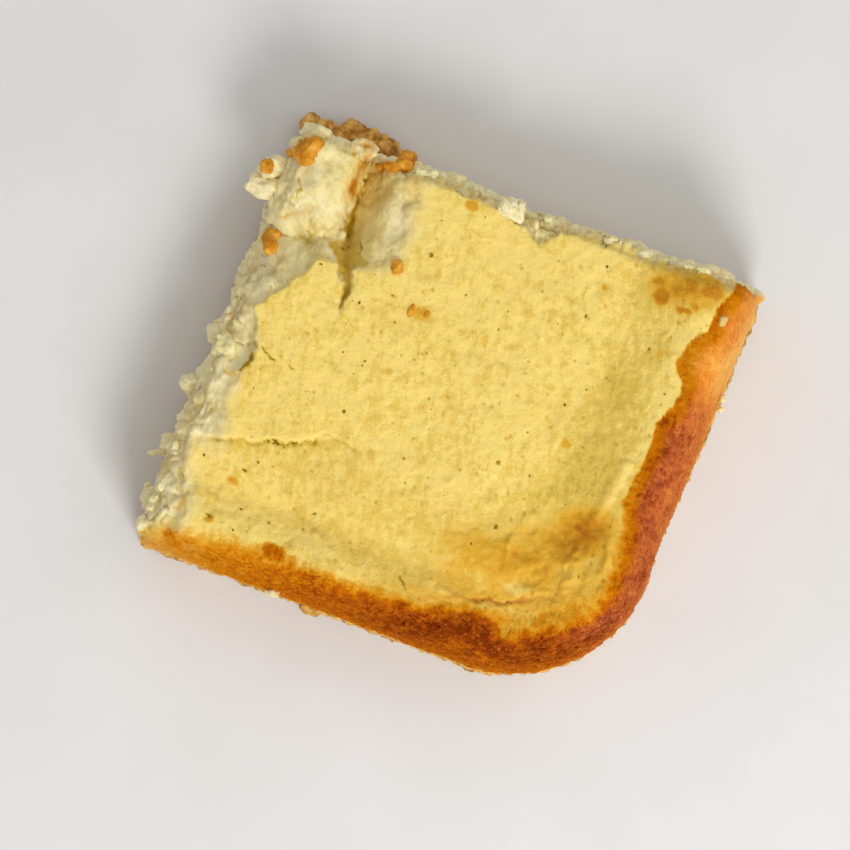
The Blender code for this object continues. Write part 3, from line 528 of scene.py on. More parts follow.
def line_field(x, y, line):
    """Distances from plan points to a line, their sides, and the line's further values there.

    The side is 1 to the left of the line's direction and -1 to the right.
    """
    distance, side = np.full(x.shape, np.inf), np.ones_like(x)
    values = np.zeros((len(line[0]) - 2, len(x)))
    for a, b in zip(line, line[1:]):
        ex, ey = b[0] - a[0], b[1] - a[1]
        t = np.clip(((x - a[0]) * ex + (y - a[1]) * ey) / (ex * ex + ey * ey), 0.0, 1.0)
        dx, dy = x - a[0] - t * ex, y - a[1] - t * ey
        reach = np.hypot(dx, dy)
        nearer = reach < distance
        distance = np.where(nearer, reach, distance)
        side = np.where(nearer, np.where(ex * dy - ey * dx >= 0.0, 1.0, -1.0), side)
        for i, (low, high) in enumerate(zip(a[2:], b[2:])):
            values[i] = np.where(nearer, between(low, high, t), values[i])
    return distance, side, values


def nearness(x, y, line, width, top=1.0, fall=1.0):
    """1 along a line and 0 away from it: a top value that falls so far in each width, cut off at 0 and 1."""
    return eased(top - fall * line_field(x, y, line)[0] / width)


def lines(x, y, rows, steepness=1.0):
    """The strength of each line of a table at plan points."""
    return (strength * nearness(x, y, line, width, steepness, steepness) for line, width, strength in rows)


def inside(x, y, outline):
    """True where a plan point lies in the outline, by counting crossings."""
    found = np.zeros(x.shape, bool)
    for (ax, ay), (bx, by) in zip(outline, outline[1:] + outline[:1]):
        if ay != by:
            found ^= ((ay > y) != (by > y)) & (x < ax + (y - ay) * (bx - ax) / (by - ay))
    return found


def depth_inside(x, y, outline, line):
    """How far plan points lie inside an outline, measured to a line that follows it, or minus that outside."""
    distance = line_field(x, y, line)[0]
    return np.where(inside(x, y, outline), distance, -distance)


def drift(x, y):
    """How far the right wall, and what is near it, lies beyond its straight line."""
    return np.interp(y, *zip(*RIGHT_DRIFT)) * eased((x - RIGHT) / CORNER_RADIUS + 1.0)


def skin_height(x, y):
    """The height of the unbroken top inside the rim's crest."""
    right = RIGHT_RISE * past(x, RIGHT_RISE_START, RIGHT - RIM_WIDTH - RIGHT_RISE_START)
    front = FRONT_RISE * past(-y, -FRONT_RISE_START, FRONT_RISE_START - FRONT - RIM_WIDTH)
    height = TOP_LEVEL + np.hypot(right, front) + ripples(flat(x, y), TOP_WAVES, 3)
    height = sum((hill(x, y, *row) for row in SWELLS), height)
    height += ripples(flat(x + y, x - y) * FOLD_STRETCH, FOLDED_WAVES, 7) * hill(x, y, *FOLDED_PLACE)
    distance, side, _ = line_field(x, y, STEP_LINE)
    return height - STEP_DROP * eased(0.5 - side * distance / STEP_WIDTH) * eased((STEP_END - x) / STEP_FADE)


def rounded_minimum(first, second, rounding):
    """The lower of two heights, with the crease between them rounded."""
    return 0.5 * (first + second - np.hypot(first - second, rounding))


def lump_height(x, y):
    """The top of the lump that has broken away."""
    dx, dy = x - LUMP_TOP[0], y - LUMP_TOP[1]
    reach = np.where(dx > 0.0, LUMP_REACH_RIGHT, LUMP_REACH_LEFT)
    room = 1.0 - np.abs(dx / reach) ** LUMP_POWER - np.abs(dy / LUMP_REACH_Y) ** LUMP_POWER
    return LUMP_FOOT + LUMP_HEIGHT * np.maximum(0.0, room) ** (1.0 / LUMP_POWER)


def cleft_height(x, y):
    """The cleft's walls, which rise to both sides of its bottom."""
    distance, side, values = line_field(x, y, CLEFT_LINE)
    return values[0] + distance * np.where(side > 0.0, CLEFT_RIGHT_SLOPE, CLEFT_LEFT_SLOPE)


def top_form(x, y):
    """The height of the whole top, and its values: how torn and pale each point is, its stains with painted
    shade, and its whiteness with painted light.
    """
    points = flat(x, y)
    near_skin = ragged(x, y, SKIN_RAGGEDNESS, 31, 41)
    outside = -depth_inside(*near_skin, SKIN_OUTLINE, SKIN_EDGE)
    worn = largest(eased(2.0 * hill(x, y, *place)) for place in WORN_PLACES)
    curd = eased(0.5 + outside / between(SKIN_EDGE_WIDTH, WORN_EDGE_WIDTH, worn))
    paling = outside + WORN_PALING * worn * (1.0 + ripple(points, WORN_LENGTH, 35))
    pale = eased(0.5 + paling / between(PALE_EDGE_WIDTH, WORN_PALE_WIDTH, worn))

    skin = skin_height(x, y)
    slope = between(TORN_SLOPE, WORN_SLOPE, worn)
    torn = np.maximum(skin - SKIN_THICKNESS - slope * np.maximum(outside, 0.0), lump_height(x, y))
    torn = np.minimum(np.maximum(torn, TORN_FLOOR), skin - SKIN_THICKNESS * (1.0 - WORN_THINNING * worn))
    torn = rounded_minimum(torn, cleft_height(x, y), CLEFT_ROUNDING)
    height = between(skin, torn, curd)
    stain = np.zeros_like(x)
    for line, width, depth, darkness in CRACKS:
        near = nearness(*near_skin, line, width, 1.2)
        height -= depth * near
        stain = np.maximum(stain, darkness * near)
    height = sum(lines(*near_skin, RIDGES), height)

    stains = [stain, *lines(*near_skin, STAINS, 1.25)]
    stains += [curd * strength for strength in lines(*near_skin, CURD_STAINS, 1.25)]
    near_floor = ragged(x, y, FLOOR_RAGGEDNESS, 33, 43)
    for outline, strength in STAINED_FLOORS:
        within = depth_inside(*near_floor, outline, outline + outline[:1])
        stains.append(strength * eased(0.5 + within / FLOOR_EDGE_WIDTH))
    uneven = 1.0 + 0.5 * ripple(points, CREAM_LENGTH, 36)
    creamy = [hill(x, y, *row) * uneven for row in CREAM_PATCHES]
    white = largest([*creamy, *lines(*near_floor, CREAM_EDGES, 1.25)])
    return height, {"curd": curd, "pale": pale, "stain": largest(stains), "white": white}


def rim_place(x, y):
    """Where plan points lie along the baked sides, and how far in from them."""
    dx, dy = x - RIGHT + CORNER_RADIUS, FRONT + CORNER_RADIUS - y
    turned = np.arctan2(np.maximum(dx, 0.0), np.maximum(dy, 0.0))
    along = CORNER_RADIUS * turned + np.minimum(dx, 0.0) - np.minimum(dy, 0.0)
    return along, CORNER_RADIUS - np.hypot(np.maximum(dx, 0.0), np.maximum(dy, 0.0))


def toast_values(x, y):
    """How brown the top is: the rim's toast, from 0 for pale skin to 1 for the darkest, its painted pink sheen,
    where it is speckled and painted with glints, and the golden brown of patches and spots, whose patches below
    0 are painted highlights.
    """
    points = flat(x, y)
    places = ragged(x, y, PATCH_RAGGEDNESS, 51, 57)
    patchy = 1.0 + ripples(points, PATCHINESS, 61)

    def spots(rows):
        """The largest of some spots with rather sharp edges."""
        return largest(
            strength * eased(SPOT_GAIN * hill(*places, *place) * patchy - SPOT_CUT) for *place, strength in rows
        )

    distance, side, _ = line_field(*places, [row[:2] for row in TOAST_EDGE])
    along, inset = rim_place(x, y)
    edge_x, edge_y, *profile = np.array(TOAST_EDGE[::-1]).T
    softness, inner, middle, outer = (np.interp(along, rim_place(edge_x, edge_y)[0], row) for row in profile)
    share = side * distance / TOAST_BAND
    toast = inner + (middle - inner) * eased(share / 0.6) + (outer - middle) * past(share, 0.65, 0.35)
    toast *= 1.0 + ripples(points, TOAST_UNEVENNESS, 63)
    streaks = ripple(flat(along, 0.3 * inset), 1.3, 65) + 0.6 * ripple(flat(along, 0.4 * inset), 0.6, 66)
    uneven = (0.16 * ripple(points, 1.7, 68) + 0.15 * streaks) * eased(softness / 3.0)
    toast *= eased(0.5 + side * distance / softness + uneven)
    for row in TOAST_HAZES:
        toast += hill(*places, *row) * patchy * (1.0 - eased(toast / 0.4))
    # Patches below 0 take golden brown away, as painted highlights.
    golden = [sum(hill(*places, *row) * patchy for row in GOLDEN_PATCHES), spots(GOLDEN_SPOTS)]
    golden += [strength * patchy for strength in lines(*places, GOLDEN_LINES, 1.2)]
    return {
        "toast": np.maximum(toast, spots(TOAST_SPOTS)), "golden": largest(golden),
        "rosy": past(share, *ROSY_SHARE) * past(x, *ROSY_X) * past(y, *ROSY_Y),
        "speckled": eased((SPECKLED_START - y) / SPECKLED_FADE),
    }


def deeper_amount(x, y):
    """How deep a yellow the skin is, with painted shade and painted highlights in it."""
    return sum(lines(x, y, DEEPER_LINES), sum(hill(x, y, *row) for row in DEEPER_PATCHES))


def round_corner(x, y):
    """Moves points of the square inside the rim's crest so that the square's corner becomes round."""
    dx, dy = x - RIGHT + CORNER_RADIUS, y - FRONT - CORNER_RADIUS
    in_corner = (dx > 0.0) & (dy < 0.0)
    ring = np.maximum(dx, -dy)
    reach = np.where(in_corner, np.hypot(dx, dy), 1.0)
    closer = (ring / reach - 1.0) * eased(ring / (CORNER_RADIUS - RIM_WIDTH))
    scale = np.where(in_corner, 1.0 + closer, 1.0)
    return x + dx * (scale - 1.0), y + dy * (scale - 1.0)


def outward(x, y):
    """The unit directions out through the baked wall that is nearest."""
    dx, dy = np.maximum(0.0, x - RIGHT + CORNER_RADIUS), np.minimum(0.0, y - FRONT - CORNER_RADIUS)
    length = np.maximum(np.hypot(dx, dy), 1e-9)
    return dx / length, dy / length


class Grids:
    """Vertices with named values, and faces between rows of them."""

    def __init__(self, *names):
        self.points, self.faces, self.values = [], [], {name: [] for name in names}
        self.count = 0

    def add(self, points, **values):
        """Adds points, given as rows x columns x 3, and returns their numbers as rows x columns."""
        shape = points.shape[:-1]
        numbers = np.arange(self.count, self.count + math.prod(shape)).reshape(shape)
        self.count += numbers.size
        self.points.append(points.reshape(-1, 3))
        for name, stored in self.values.items():
            stored.append(np.broadcast_to(values.get(name, 0.0), shape).reshape(-1))
        return numbers

    def join(self, first, rest):
        """Adds faces between rows of vertex numbers, the first of which is given by itself."""
        rows = np.concatenate([[first], rest])
        corners = rows[:-1, :-1], rows[1:, :-1], rows[1:, 1:], rows[:-1, 1:]
        self.faces += np.stack(corners, axis=-1).reshape(-1, 4).tolist()

    def mesh(self, name, *caps):
        """Makes the mesh, with further faces given as loops of vertex numbers, and turns its faces outwards."""
        faces = [list(dict.fromkeys(face)) for face in self.faces] + [list(loop) for loop in caps]
        mesh = bpy.data.meshes.new(name)
        mesh.from_pydata(in_metres(np.concatenate(self.points)), [], [f for f in faces if len(f) > 2])
        for value_name, stored in self.values.items():
            write_value(mesh, value_name, np.concatenate(stored))
        bm = bmesh.new()
        bm.from_mesh(mesh)
        bmesh.ops.recalc_face_normals(bm, faces=bm.faces)
        bm.to_mesh(mesh)
        bm.free()
        return mesh


def in_metres(points):
    """Plan points in millimetres as points of the frame in metres."""
    return np.subtract(points, (*PLAN_MIDDLE, 0.0)) * MM


def vectors(items, name):
    """What a mesh's items store as three numbers each, as rows."""
    values = np.empty(3 * len(items), np.float32)
    items.foreach_get(name, values)
    return values.reshape(-1, 3).astype(float)


def plan_points(mesh):
    """A mesh's vertices as plan points in millimetres."""
    return vectors(mesh.vertices, "co") / MM + (*PLAN_MIDDLE, 0.0)


def place_vertices(mesh, points):
    """Puts a mesh's vertices at plan points in millimetres."""
    mesh.vertices.foreach_set("co", in_metres(points).astype(np.float32).ravel())
    mesh.update()


def read_value(mesh, name):
    """A named value of a mesh's vertices."""
    values = np.empty(len(mesh.vertices), np.float32)
    mesh.attributes[name].data.foreach_get("value", values)
    return values.astype(float)


def write_value(mesh, name, values):
    """Stores a named value, one for all vertices or one for each."""
    attribute = mesh.attributes.get(name) or mesh.attributes.new(name, "FLOAT", "POINT")
    attribute.data.foreach_set("value", np.broadcast_to(values, len(mesh.vertices)).astype(np.float32))


def made_mesh(name, bm):
    """A new mesh from a bmesh, which is then freed."""
    mesh = bpy.data.meshes.new(name)
    bm.to_mesh(mesh)
    bm.free()
    return mesh


def ball(name, detail):
    """A ball's mesh and the directions of its vertices."""
    bm = bmesh.new()
    bmesh.ops.create_icosphere(bm, subdivisions=detail, radius=1.0)
    mesh = made_mesh(name, bm)
    return mesh, vectors(mesh.vertices, "co")


def add_object(name, data):
    """Adds an object with its mesh, light or camera to the scene."""
    obj = bpy.data.objects.new(name, data)
    bpy.context.scene.collection.objects.link(obj)
    return obj


def wall_rows(edge, direction):
    """The rows of a cut side under its edge, down to the filling's foot, and how deep each point lies."""
    count = round((TOP_LEVEL - FILLING_FOOT) / WALL_SPACING)
    depth = np.arange(1, count + 1)[:, None] / count * (edge[:, 2] - FILLING_FOOT)
    lean = CUT_LEAN * (1.0 - np.exp(-depth / CRUMBLE_DEPTH)) * eased(depth[-1] / CRUMBLE_DEPTH)
    return edge + np.stack([lean * direction[0], lean * direction[1], -depth], axis=-1), depth


def smoothed_along(rows, reach):
    """Rows of values, each evened out over a reach to both sides."""
    wide = np.pad(rows, ((0, 0), (reach + 1, reach)), mode="edge").cumsum(axis=1)
    return (wide[:, 2 * reach + 1:] - wide[:, :-2 * reach - 1]) / (2 * reach + 1)


def along_rim(block):
    """What a block holds beside the rim, from its back right corner round to its front left one."""
    return np.concatenate([block[:, -1], block[-1, -2::-1]])


def filling_form():
    """The filling as one closed mesh: top, baked rim, two cut sides and a flat foot."""
    grids = Grids("curd", "pale", "white", "stain", "toast", "rosy", "golden", "speckled", "deeper")
    left_top, right_top = LEFT + CUT_LEAN, RIGHT - RIM_WIDTH
    back_top, front_top = BACK - CUT_LEAN, FRONT + RIM_WIDTH
    xs = np.linspace(left_top, right_top, round((right_top - left_top) / TOP_SPACING) + 1)
    ys = np.linspace(back_top, front_top, round((back_top - front_top) / TOP_SPACING) + 1)
    x, y = (grid.ravel() for grid in np.meshgrid(xs, ys))
    from_cuts = x - left_top, back_top - y
    x, y = round_corner(x, y)
    x = x + LEFT_TILT * y * (right_top - x) / (right_top - left_top)
    z, values = top_form(x, y)
    for distance in from_cuts:
        share = np.clip(1.0 - distance / CUT_ROUND, 0.0, 1.0)
        z -= CUT_DROP * (1.0 - np.sqrt(1.0 - share * share))
    x = x + drift(x, y)
    values.update(toast_values(x, y), deeper=deeper_amount(x, y))
    values = {name: value.reshape(len(ys), len(xs)) for name, value in values.items()}
    top_points = np.stack([x, y, z], axis=1).reshape(len(ys), len(xs), 3)
    top = grids.add(top_points, **values)
    grids.join(top[0], top[1:])

    rows = round(math.hypot(RIM_WIDTH, TOP_LEVEL) / RIM_SPACING)
    angle = ((1.0 - np.arange(1, rows + 1) / rows) * math.pi / 2)[:, None]
    out = RIM_WIDTH - RIM_WIDTH * (1.0 - np.cos(angle) ** (2.0 / RIM_WALL_POWER))
    drop = 1.0 - np.sin(angle) ** (2.0 / RIM_SHOULDER_POWER)
    x, y, z = along_rim(top_points).T
    dx, dy = outward(x - drift(x, y), y)
    rim_points = np.stack([x + dx * out, y + dy * out, z - drop * (z - FILLING_FOOT)], axis=-1)
    toasted = toast_values(*rim_points.reshape(-1, 3).T[:2])
    rim_values = {name: value.reshape(rows, -1) for name, value in toasted.items()}
    for name in ("toast", "rosy"):
        even = smoothed_along(rim_values[name], round(WALL_EVENNESS / RIM_SPACING))
        rim_values[name] = between(rim_values[name], even, past(drop, *EVEN_DROP))
    rim_values["toast"] *= 1.0 - WALL_PALING * past(drop, *PALING_DROP)
    for name in ("curd", "pale"):
        rim_values[name] = along_rim(values[name]) * (1.0 - eased(drop / TORN_RIM_DROP))
    rim = grids.add(rim_points, **rim_values)
    grids.join(along_rim(top), rim)

    def cut_side(row, column, direction, start=None):
        """Adds the cut side under an edge of the top and one of the rim, and returns its vertex numbers."""
        def joined(of_top, of_rim):
            return np.concatenate([of_top[row], of_rim[:, column]])

        wall, depth = wall_rows(joined(top_points, rim_points), direction)
        edge = {name: joined(values[name], rim_values[name]) for name in rim_values}
        reach = 1.0 + TOASTED_REACH * past(edge["toast"], *TOASTED_EDGE)
        reach = reach * (1.0 + ripples(wall.reshape(-1, 3), REACH_RAGGEDNESS, 67).reshape(depth.shape))
        shown = eased(1.5 - depth / reach)
        # Whiter with depth: creamier curd, and painted light on the shaded face.
        numbers = grids.add(
            wall, curd=np.maximum(edge["curd"], eased(depth / (0.8 * reach))),
            pale=np.maximum(edge["pale"], eased(1.5 * depth / reach - 0.8)), rosy=edge["rosy"],
            white=WALL_WHITENESS * eased(depth / WHITENING_DEPTH),
            toast=edge["toast"] * shown, golden=edge["golden"] * shown, speckled=edge["speckled"],
        )
        numbers[:, -1] = rim[-1, column]
        if start is not None:
            numbers[:, 0] = start
        grids.join(joined(top, rim), numbers)
        return numbers

    left = cut_side(np.s_[:, 0], -1, (-1.0, 0.0))
    back = cut_side(0, 0, (0.0, 1.0), left[:, 0])
    return grids.mesh("cheese_filling_shape", [*left[-1, ::-1], *back[-1, 1:], *rim[-1, 1:-1]])


def roughen(mesh):
    """Gives the curd its puffs and creases, the skin its fine bumps and pits and the crust its wrinkles, and
    stores painted shade for those creases, crevices, pits and wrinkles.
    """
    points = plan_points(mesh)
    x, y, z = points.T
    curd, toast = (read_value(mesh, name) for name in ("curd", "toast"))
    calm = largest(hill(x, y, *row) for row in CALM_PATCHES)
    strip = past(y, *STRIP_Y) * past(x, *STRIP_X) * past(z, *STRIP_Z)
    rough = np.maximum(eased(0.6 + 0.9 * ripple(points, 9.0, 94)) * (1.0 - calm), strip)
    warp = np.stack([ripple(points, WARP_LENGTH, seed) for seed in (91, 92, 93)], axis=1)
    warped = points + WARP_DEPTH * warp
    large, small = puffs(warped, LARGE_PUFF, 71), puffs(warped, SMALL_PUFF, 73)
    crevices = creases(warped, CREVICE_SPACING, CREVICE_WIDTH, 95) * (1.0 - calm)
    crevices *= eased(0.5 + 2.0 * ripple(points, 11.0, 96))
    torn = (1.0 - CALMING * calm) * (0.9 * (large - PUFF_MIDDLE) + ripples(points, CUT_WAVES, 75))
    torn += rough * (0.7 * (small - PUFF_MIDDLE) + 0.3 * (puffs(points, TINY_PUFF, 74) - PUFF_MIDDLE))
    torn -= CREVICE_DEPTH * crevices

    pits = eased(1.0 - grain_distance(points, PIT_SPACING, 77) / PIT_SIZE)
    pits *= eased(ripple(points, 7.0, 78) * 2.0 + 0.4)
    skin = ripples(points, SKIN_BUMPS, 81) - PIT_DEPTH * pits
    along, inset = rim_place(x, y)
    lengthwise = np.stack([WRINKLE_STRETCH * along, inset, z], axis=1)
    wrinkles = creases(lengthwise, WRINKLE_SPACING, WRINKLE_WIDTH, 86)
    wrinkles *= eased(ripple(points, 5.0, 87) * 1.5 + 0.5) * (1.0 - 0.85 * past(y, *SMOOTHER_RIM_Y))
    crust = ripples(points, CRUST_BUMPS, 84) + CRUST_PUFF_DEPTH * (puffs(points, CRUST_PUFF, 88) - 0.5)
    crust -= WRINKLE_DEPTH * wrinkles
    crusty = past(toast, *CRUSTY_TOAST)

    above_foot = past(z, FILLING_FOOT, FOOT_FADE)
    rise = between(between(skin, crust, crusty), torn, curd) * above_foot
    place_vertices(mesh, points + vectors(mesh.vertex_normals, "vector") * rise[:, None])
    shift = hill(x, y, *CRUMBLED_CORNER) * above_foot * math.sqrt(0.5)
    place_vertices(mesh, plan_points(mesh) + shift[:, None] * (1.0, -1.0, 0.0))
    # Painted shade: how much darker the colour is in curd creases and crevices, skin pits and crust wrinkles.
    in_curd = 0.5 * rough * np.maximum(eased(1.0 - large / 0.2), eased(1.0 - small / 0.28))
    in_curd = np.maximum(in_curd, 0.8 * crevices)
    write_value(mesh, "crease", between(np.maximum(pits, wrinkles * crusty), in_curd, curd))


def lump_mesh(name, centre, size, seed, detail, grain=1.3, uneven=(0.36, 0.2), relief=0.13, white=0.5):
    """An uneven lump with puffs and small grains on it."""
    mesh, directions = ball(name, detail)
    placed = directions * size
    shifted, turned = placed + seed * 7.3, directions + seed * 3.1
    swell = 1.0 + ripples(turned, zip(uneven, LUMP_LENGTHS), 21)
    puffed = puffs(shifted, grain, 23)
    rise = relief * grain * (puffed - 0.5 + 0.45 * (puffs(shifted, 0.45 * grain, 24) - 0.5))
    placed = placed * swell[:, None] + directions * rise[:, None] + centre
    place_vertices(mesh, placed)
    values = {"curd": 1.0, "pale": 1.0, "white": white, "golden": toast_values(*placed.T[:2])["golden"]}
    # Painted shade in the creases between the lump's puffs.
    values["crease"] = 0.3 * eased(1.0 - puffed / 0.3)
    for value_name, value in values.items():
        write_value(mesh, value_name, value)
    return mesh


def modify(obj, kind, **settings):
    """Gives an object the mesh that a modifier makes of its own."""
    modifier = obj.modifiers.new(kind, kind)
    for name, value in settings.items():
        setattr(modifier, name, value)
    mesh = bpy.data.meshes.new_from_object(obj.evaluated_get(bpy.context.evaluated_depsgraph_get()))
    obj.modifiers.clear()
    obj.data = mesh


def fuse(obj, lumps):
    """Joins lump meshes to an object by one union."""
    collection = bpy.data.collections.new("fused")
    bpy.context.scene.collection.children.link(collection)
    for mesh in lumps:
        collection.objects.link(bpy.data.objects.new(mesh.name, mesh))
    modify(
        obj, "BOOLEAN", operation="UNION", operand_type="COLLECTION", collection=collection, solver="MANIFOLD",
    )
    for lump in list(collection.objects):
        bpy.data.objects.remove(lump)
    bpy.data.collections.remove(collection)
    obj.data.shade_smooth()


def join_meshes(name, meshes):
    """One object of several meshes, which stay separate bodies."""
    bm = bmesh.new()
    for mesh in meshes:
        bm.from_mesh(mesh)
        bpy.data.meshes.remove(mesh)
    return add_object(name, made_mesh(name, bm))


def cheese_filling():
    """The filling: its form, its relief and the curd lumps that stand out of it."""
    filling = add_object("cheese_filling_body", filling_form())
    roughen(filling.data)
    fuse(filling, [
        lump_mesh(f"curd_lump_{i}", centre, size, i, 4, uneven=(0.34, 0.15), white=white)
        for i, (centre, size, white) in enumerate(CURD_LUMPS)
    ])
    return filling


def surface_heights(obj, places):
    """The heights, in millimetres, of an object's surface under plan points, and 0 beside it."""
    tree = BVHTree.FromObject(obj, bpy.context.evaluated_depsgraph_get())
    for x, y in places:
        start = Vector(in_metres((x, y, 2.0 * TOP_LEVEL)))
        place = tree.ray_cast(start, Vector((0.0, 0.0, -1.0)))[0]
        yield place.z / MM if place else 0.0


def golden_crumbs(filling):
    """The crumbs of the base that lie on the filling."""
    heights = surface_heights(filling, [place for place, _, _ in CRUMBS_ON_TOP])
    crumbs = join_meshes("golden_crumbs", [
        lump_mesh(f"crumb_{i}", (*place, z + lift), size, 20 + i, 4, 0.9, (0.3, 0.16), 0.14)
        for i, ((place, size, lift), z) in enumerate(zip(CRUMBS_ON_TOP, heights))
    ])
    modify(crumbs, "REMESH", mode="VOXEL", voxel_size=CRUMB_VOXEL * MM)
    modify(crumbs, "SMOOTH", iterations=CRUMB_SMOOTHINGS)
    crumbs.data.shade_smooth()
    return crumbs


def curd_crumbs(filling):
    """Small bits of curd on the torn corner, along the cut edges and on the baked sides."""
    draw = np.random.default_rng(8)
    from_left, x = draw.uniform(0.1, 1.0, BITS_LEFT), draw.uniform(*BITS_BACK_SPAN, BITS_BACK)
    x = np.concatenate([LEFT + CUT_LEAN * from_left, x])
    y, from_back = draw.uniform(*BITS_LEFT_SPAN, BITS_LEFT), draw.uniform(0.1, 1.2, BITS_BACK)
    y = np.concatenate([y, BACK - CUT_LEAN * from_back])
    curd = top_form(x, y)[1]["curd"]
    rim_height, *heights = surface_heights(filling, [BIT_ON_RIM[0], *zip(x, y)])
    meshes = [lump_mesh("rim_bit", (*BIT_ON_RIM[0], rim_height), BIT_ON_RIM[1], 55, 3, 0.8, white=0.0)]
    write_value(meshes[0], "toast", 0.18)
    # The bit on the rim gets the full painted pink sheen.
    write_value(meshes[0], "rosy", 1.0)
    for i, (centre, size) in enumerate(BITS_ON_SIDES):
        meshes.append(lump_mesh(f"side_bit_{i}", centre, size, 56 + i, 3, 0.7))
    for i, z in enumerate(heights):
        size = (0.35 + 0.75 * draw.random() ** 2) * draw.uniform(0.5, 1.4, 3) * (1.2, 1.2, 0.6)
        if curd[i] > 0.9 and z > 0.5 * TOP_LEVEL:
            place, seed = (x[i], y[i], z), 60 + 1.7 * i
            meshes.append(lump_mesh(f"bit_{i}", place, size, seed, 3, 0.6, (0.5, 0.3), white=0.6))
    bits = join_meshes("curd_crumbs", meshes)
    bits.data.shade_smooth()
    return bits


def base_outline():
    """Points round the base with their outward directions, as rows of x, y, dx and dy."""
    corners = (
        (LEFT, FRONT, 1, 1, BASE_CORNER_RADIUS), (RIGHT, FRONT, -1, 1, CORNER_RADIUS),
        (RIGHT, BACK, -1, -1, BASE_CORNER_RADIUS), (LEFT, BACK, 1, -1, BASE_CORNER_RADIUS),
    )
    arcs = []
    for i, (x, y, to_right, to_back, radius) in enumerate(corners):
        turns = round(radius * math.pi / 2 / BASE_SPACING)
        angle = math.pi * (1.0 + 0.5 * (i + np.arange(turns + 1) / turns))[:, None]
        away = np.concatenate([np.cos(angle), np.sin(angle)], axis=1)
        middle = (x + to_right * radius, y + to_back * radius)
        arcs.append(np.concatenate([middle + radius * away, away], axis=1))
    rows = []
    for arc, following in zip(arcs, arcs[1:] + arcs[:1]):
        start, end = arc[-1, :2], following[0, :2]
        count = round(math.dist(start, end) / BASE_SPACING)
        place = between(start, end, (np.arange(1, count) / count)[:, None])
        rows += [arc, np.concatenate([place, np.broadcast_to(arc[-1, 2:], place.shape)], axis=1)]
    return np.concatenate(rows)


def crumb_base():
    """The slab of pressed crumbs with its coarse crumbs."""
    x, y, dx, dy = base_outline().T
    x = x + LEFT_TILT * y * (RIGHT - x) / (RIGHT - LEFT) + drift(x, y)
    rise = (np.arange(BASE_ROWS + 1) / BASE_ROWS)[:, None]
    out = -BASE_EDGE_ROUND * (2.0 * rise - 1.0) ** 4
    points = np.stack(np.broadcast_arrays(x + dx * out, y + dy * out, BASE_THICKNESS * rise), axis=-1)
    places = points.reshape(-1, 3)
    relief = 0.4 * ripple(places, 5.0, 103)
    for depth, size, seed in BASE_GRAINS:
        relief += depth * (0.62 - grain_distance(places, size, seed))
    relief = relief.reshape(rise.size, -1) * eased(1.0 - np.abs(2.0 * rise - 1.0) ** 6)
    points[..., 0] += dx * relief
    points[..., 1] += dy * relief
    grids = Grids("crease")
    # Painted shade where the base's grains dip in.
    ring = grids.add(points, crease=eased(0.4 - relief / 0.8))
    closed = np.concatenate([ring, ring[:, :1]], axis=1)
    grids.join(closed[0], closed[1:])
    base = add_object("crumb_base_body", grids.mesh("crumb_base_shape", ring[0], ring[-1]))
    fuse(base, [
        lump_mesh(f"base_crumb_{i}", centre, size, 40 + i, 4, 1.1, (0.3, 0.14))
        for i, (centre, size) in enumerate(BASE_CRUMBS)
    ])
    return base


def vanilla_specks(filling):
    """Dark flecks that lie in the skin: the larger at their places, the rest scattered."""
    draw = np.random.default_rng(5)
    places = list(NAMED_SPECKS)
    while len(places) < len(NAMED_SPECKS) + SCATTERED_SPECKS:
        x, y = draw.uniform(LEFT + 6.0, RIGHT - 9.0), draw.uniform(FRONT + 8.0, BACK - 4.0)
        places.append((x, y, 0.09 + 0.13 * draw.random() ** 3))
    x, y, size = np.array(places).T
    z = np.array(list(surface_heights(filling, zip(x, y))))
    meshes = []
    for i in np.nonzero(top_form(x, y)[1]["curd"] < 0.1)[0]:
        mesh, directions = ball(f"speck_{i}", 2 if size[i] > 0.22 else 1)
        turn, stretch = draw.uniform(0.0, math.pi), draw.uniform(1.0, 1.7)
        shape = directions * (1.0 + 0.5 * ripple(directions + 3.7 * i, 0.9, 25))[:, None]
        long, across, up = (shape * (stretch, 1.0, 0.4)).T
        cosine, sine = math.cos(turn), math.sin(turn)
        turned = np.stack([long * cosine - across * sine, long * sine + across * cosine, up], axis=1)
        place_vertices(mesh, turned * size[i] * 0.9 + (x[i], y[i], z[i]))
        meshes.append(mesh)
    return join_meshes("vanilla_specks", meshes)


def linear(red, green, blue):
    """A colour given as 0 to 255 in sRGB, as the linear values that shaders take."""
    parts = (part / 255.0 for part in (red, green, blue))
    return (*(part / 12.92 if part <= 0.04045 else ((part + 0.055) / 1.055) ** 2.4 for part in parts), 1.0)


class Value:
    """What a material works out at each point, with Math nodes for its sums and products."""

    def __init__(self, material, socket):
        self.material, self.socket = material, socket

    def __add__(self, other):
        return self.material.node("Math", {0: self, 1: other}, operation="ADD")

    def __sub__(self, other):
        return self.material.node("Math", {0: self, 1: other}, operation="SUBTRACT")

    def __rsub__(self, other):
        return self.material.node("Math", {0: other, 1: self}, operation="SUBTRACT")

    def __mul__(self, other):
        return self.material.node("Math", {0: self, 1: other}, operation="MULTIPLY")

    __radd__, __rmul__ = __add__, __mul__

    def clamped(self):
        """The same sum or product, kept from 0 to 1."""
        self.socket.node.use_clamp = True
        return self


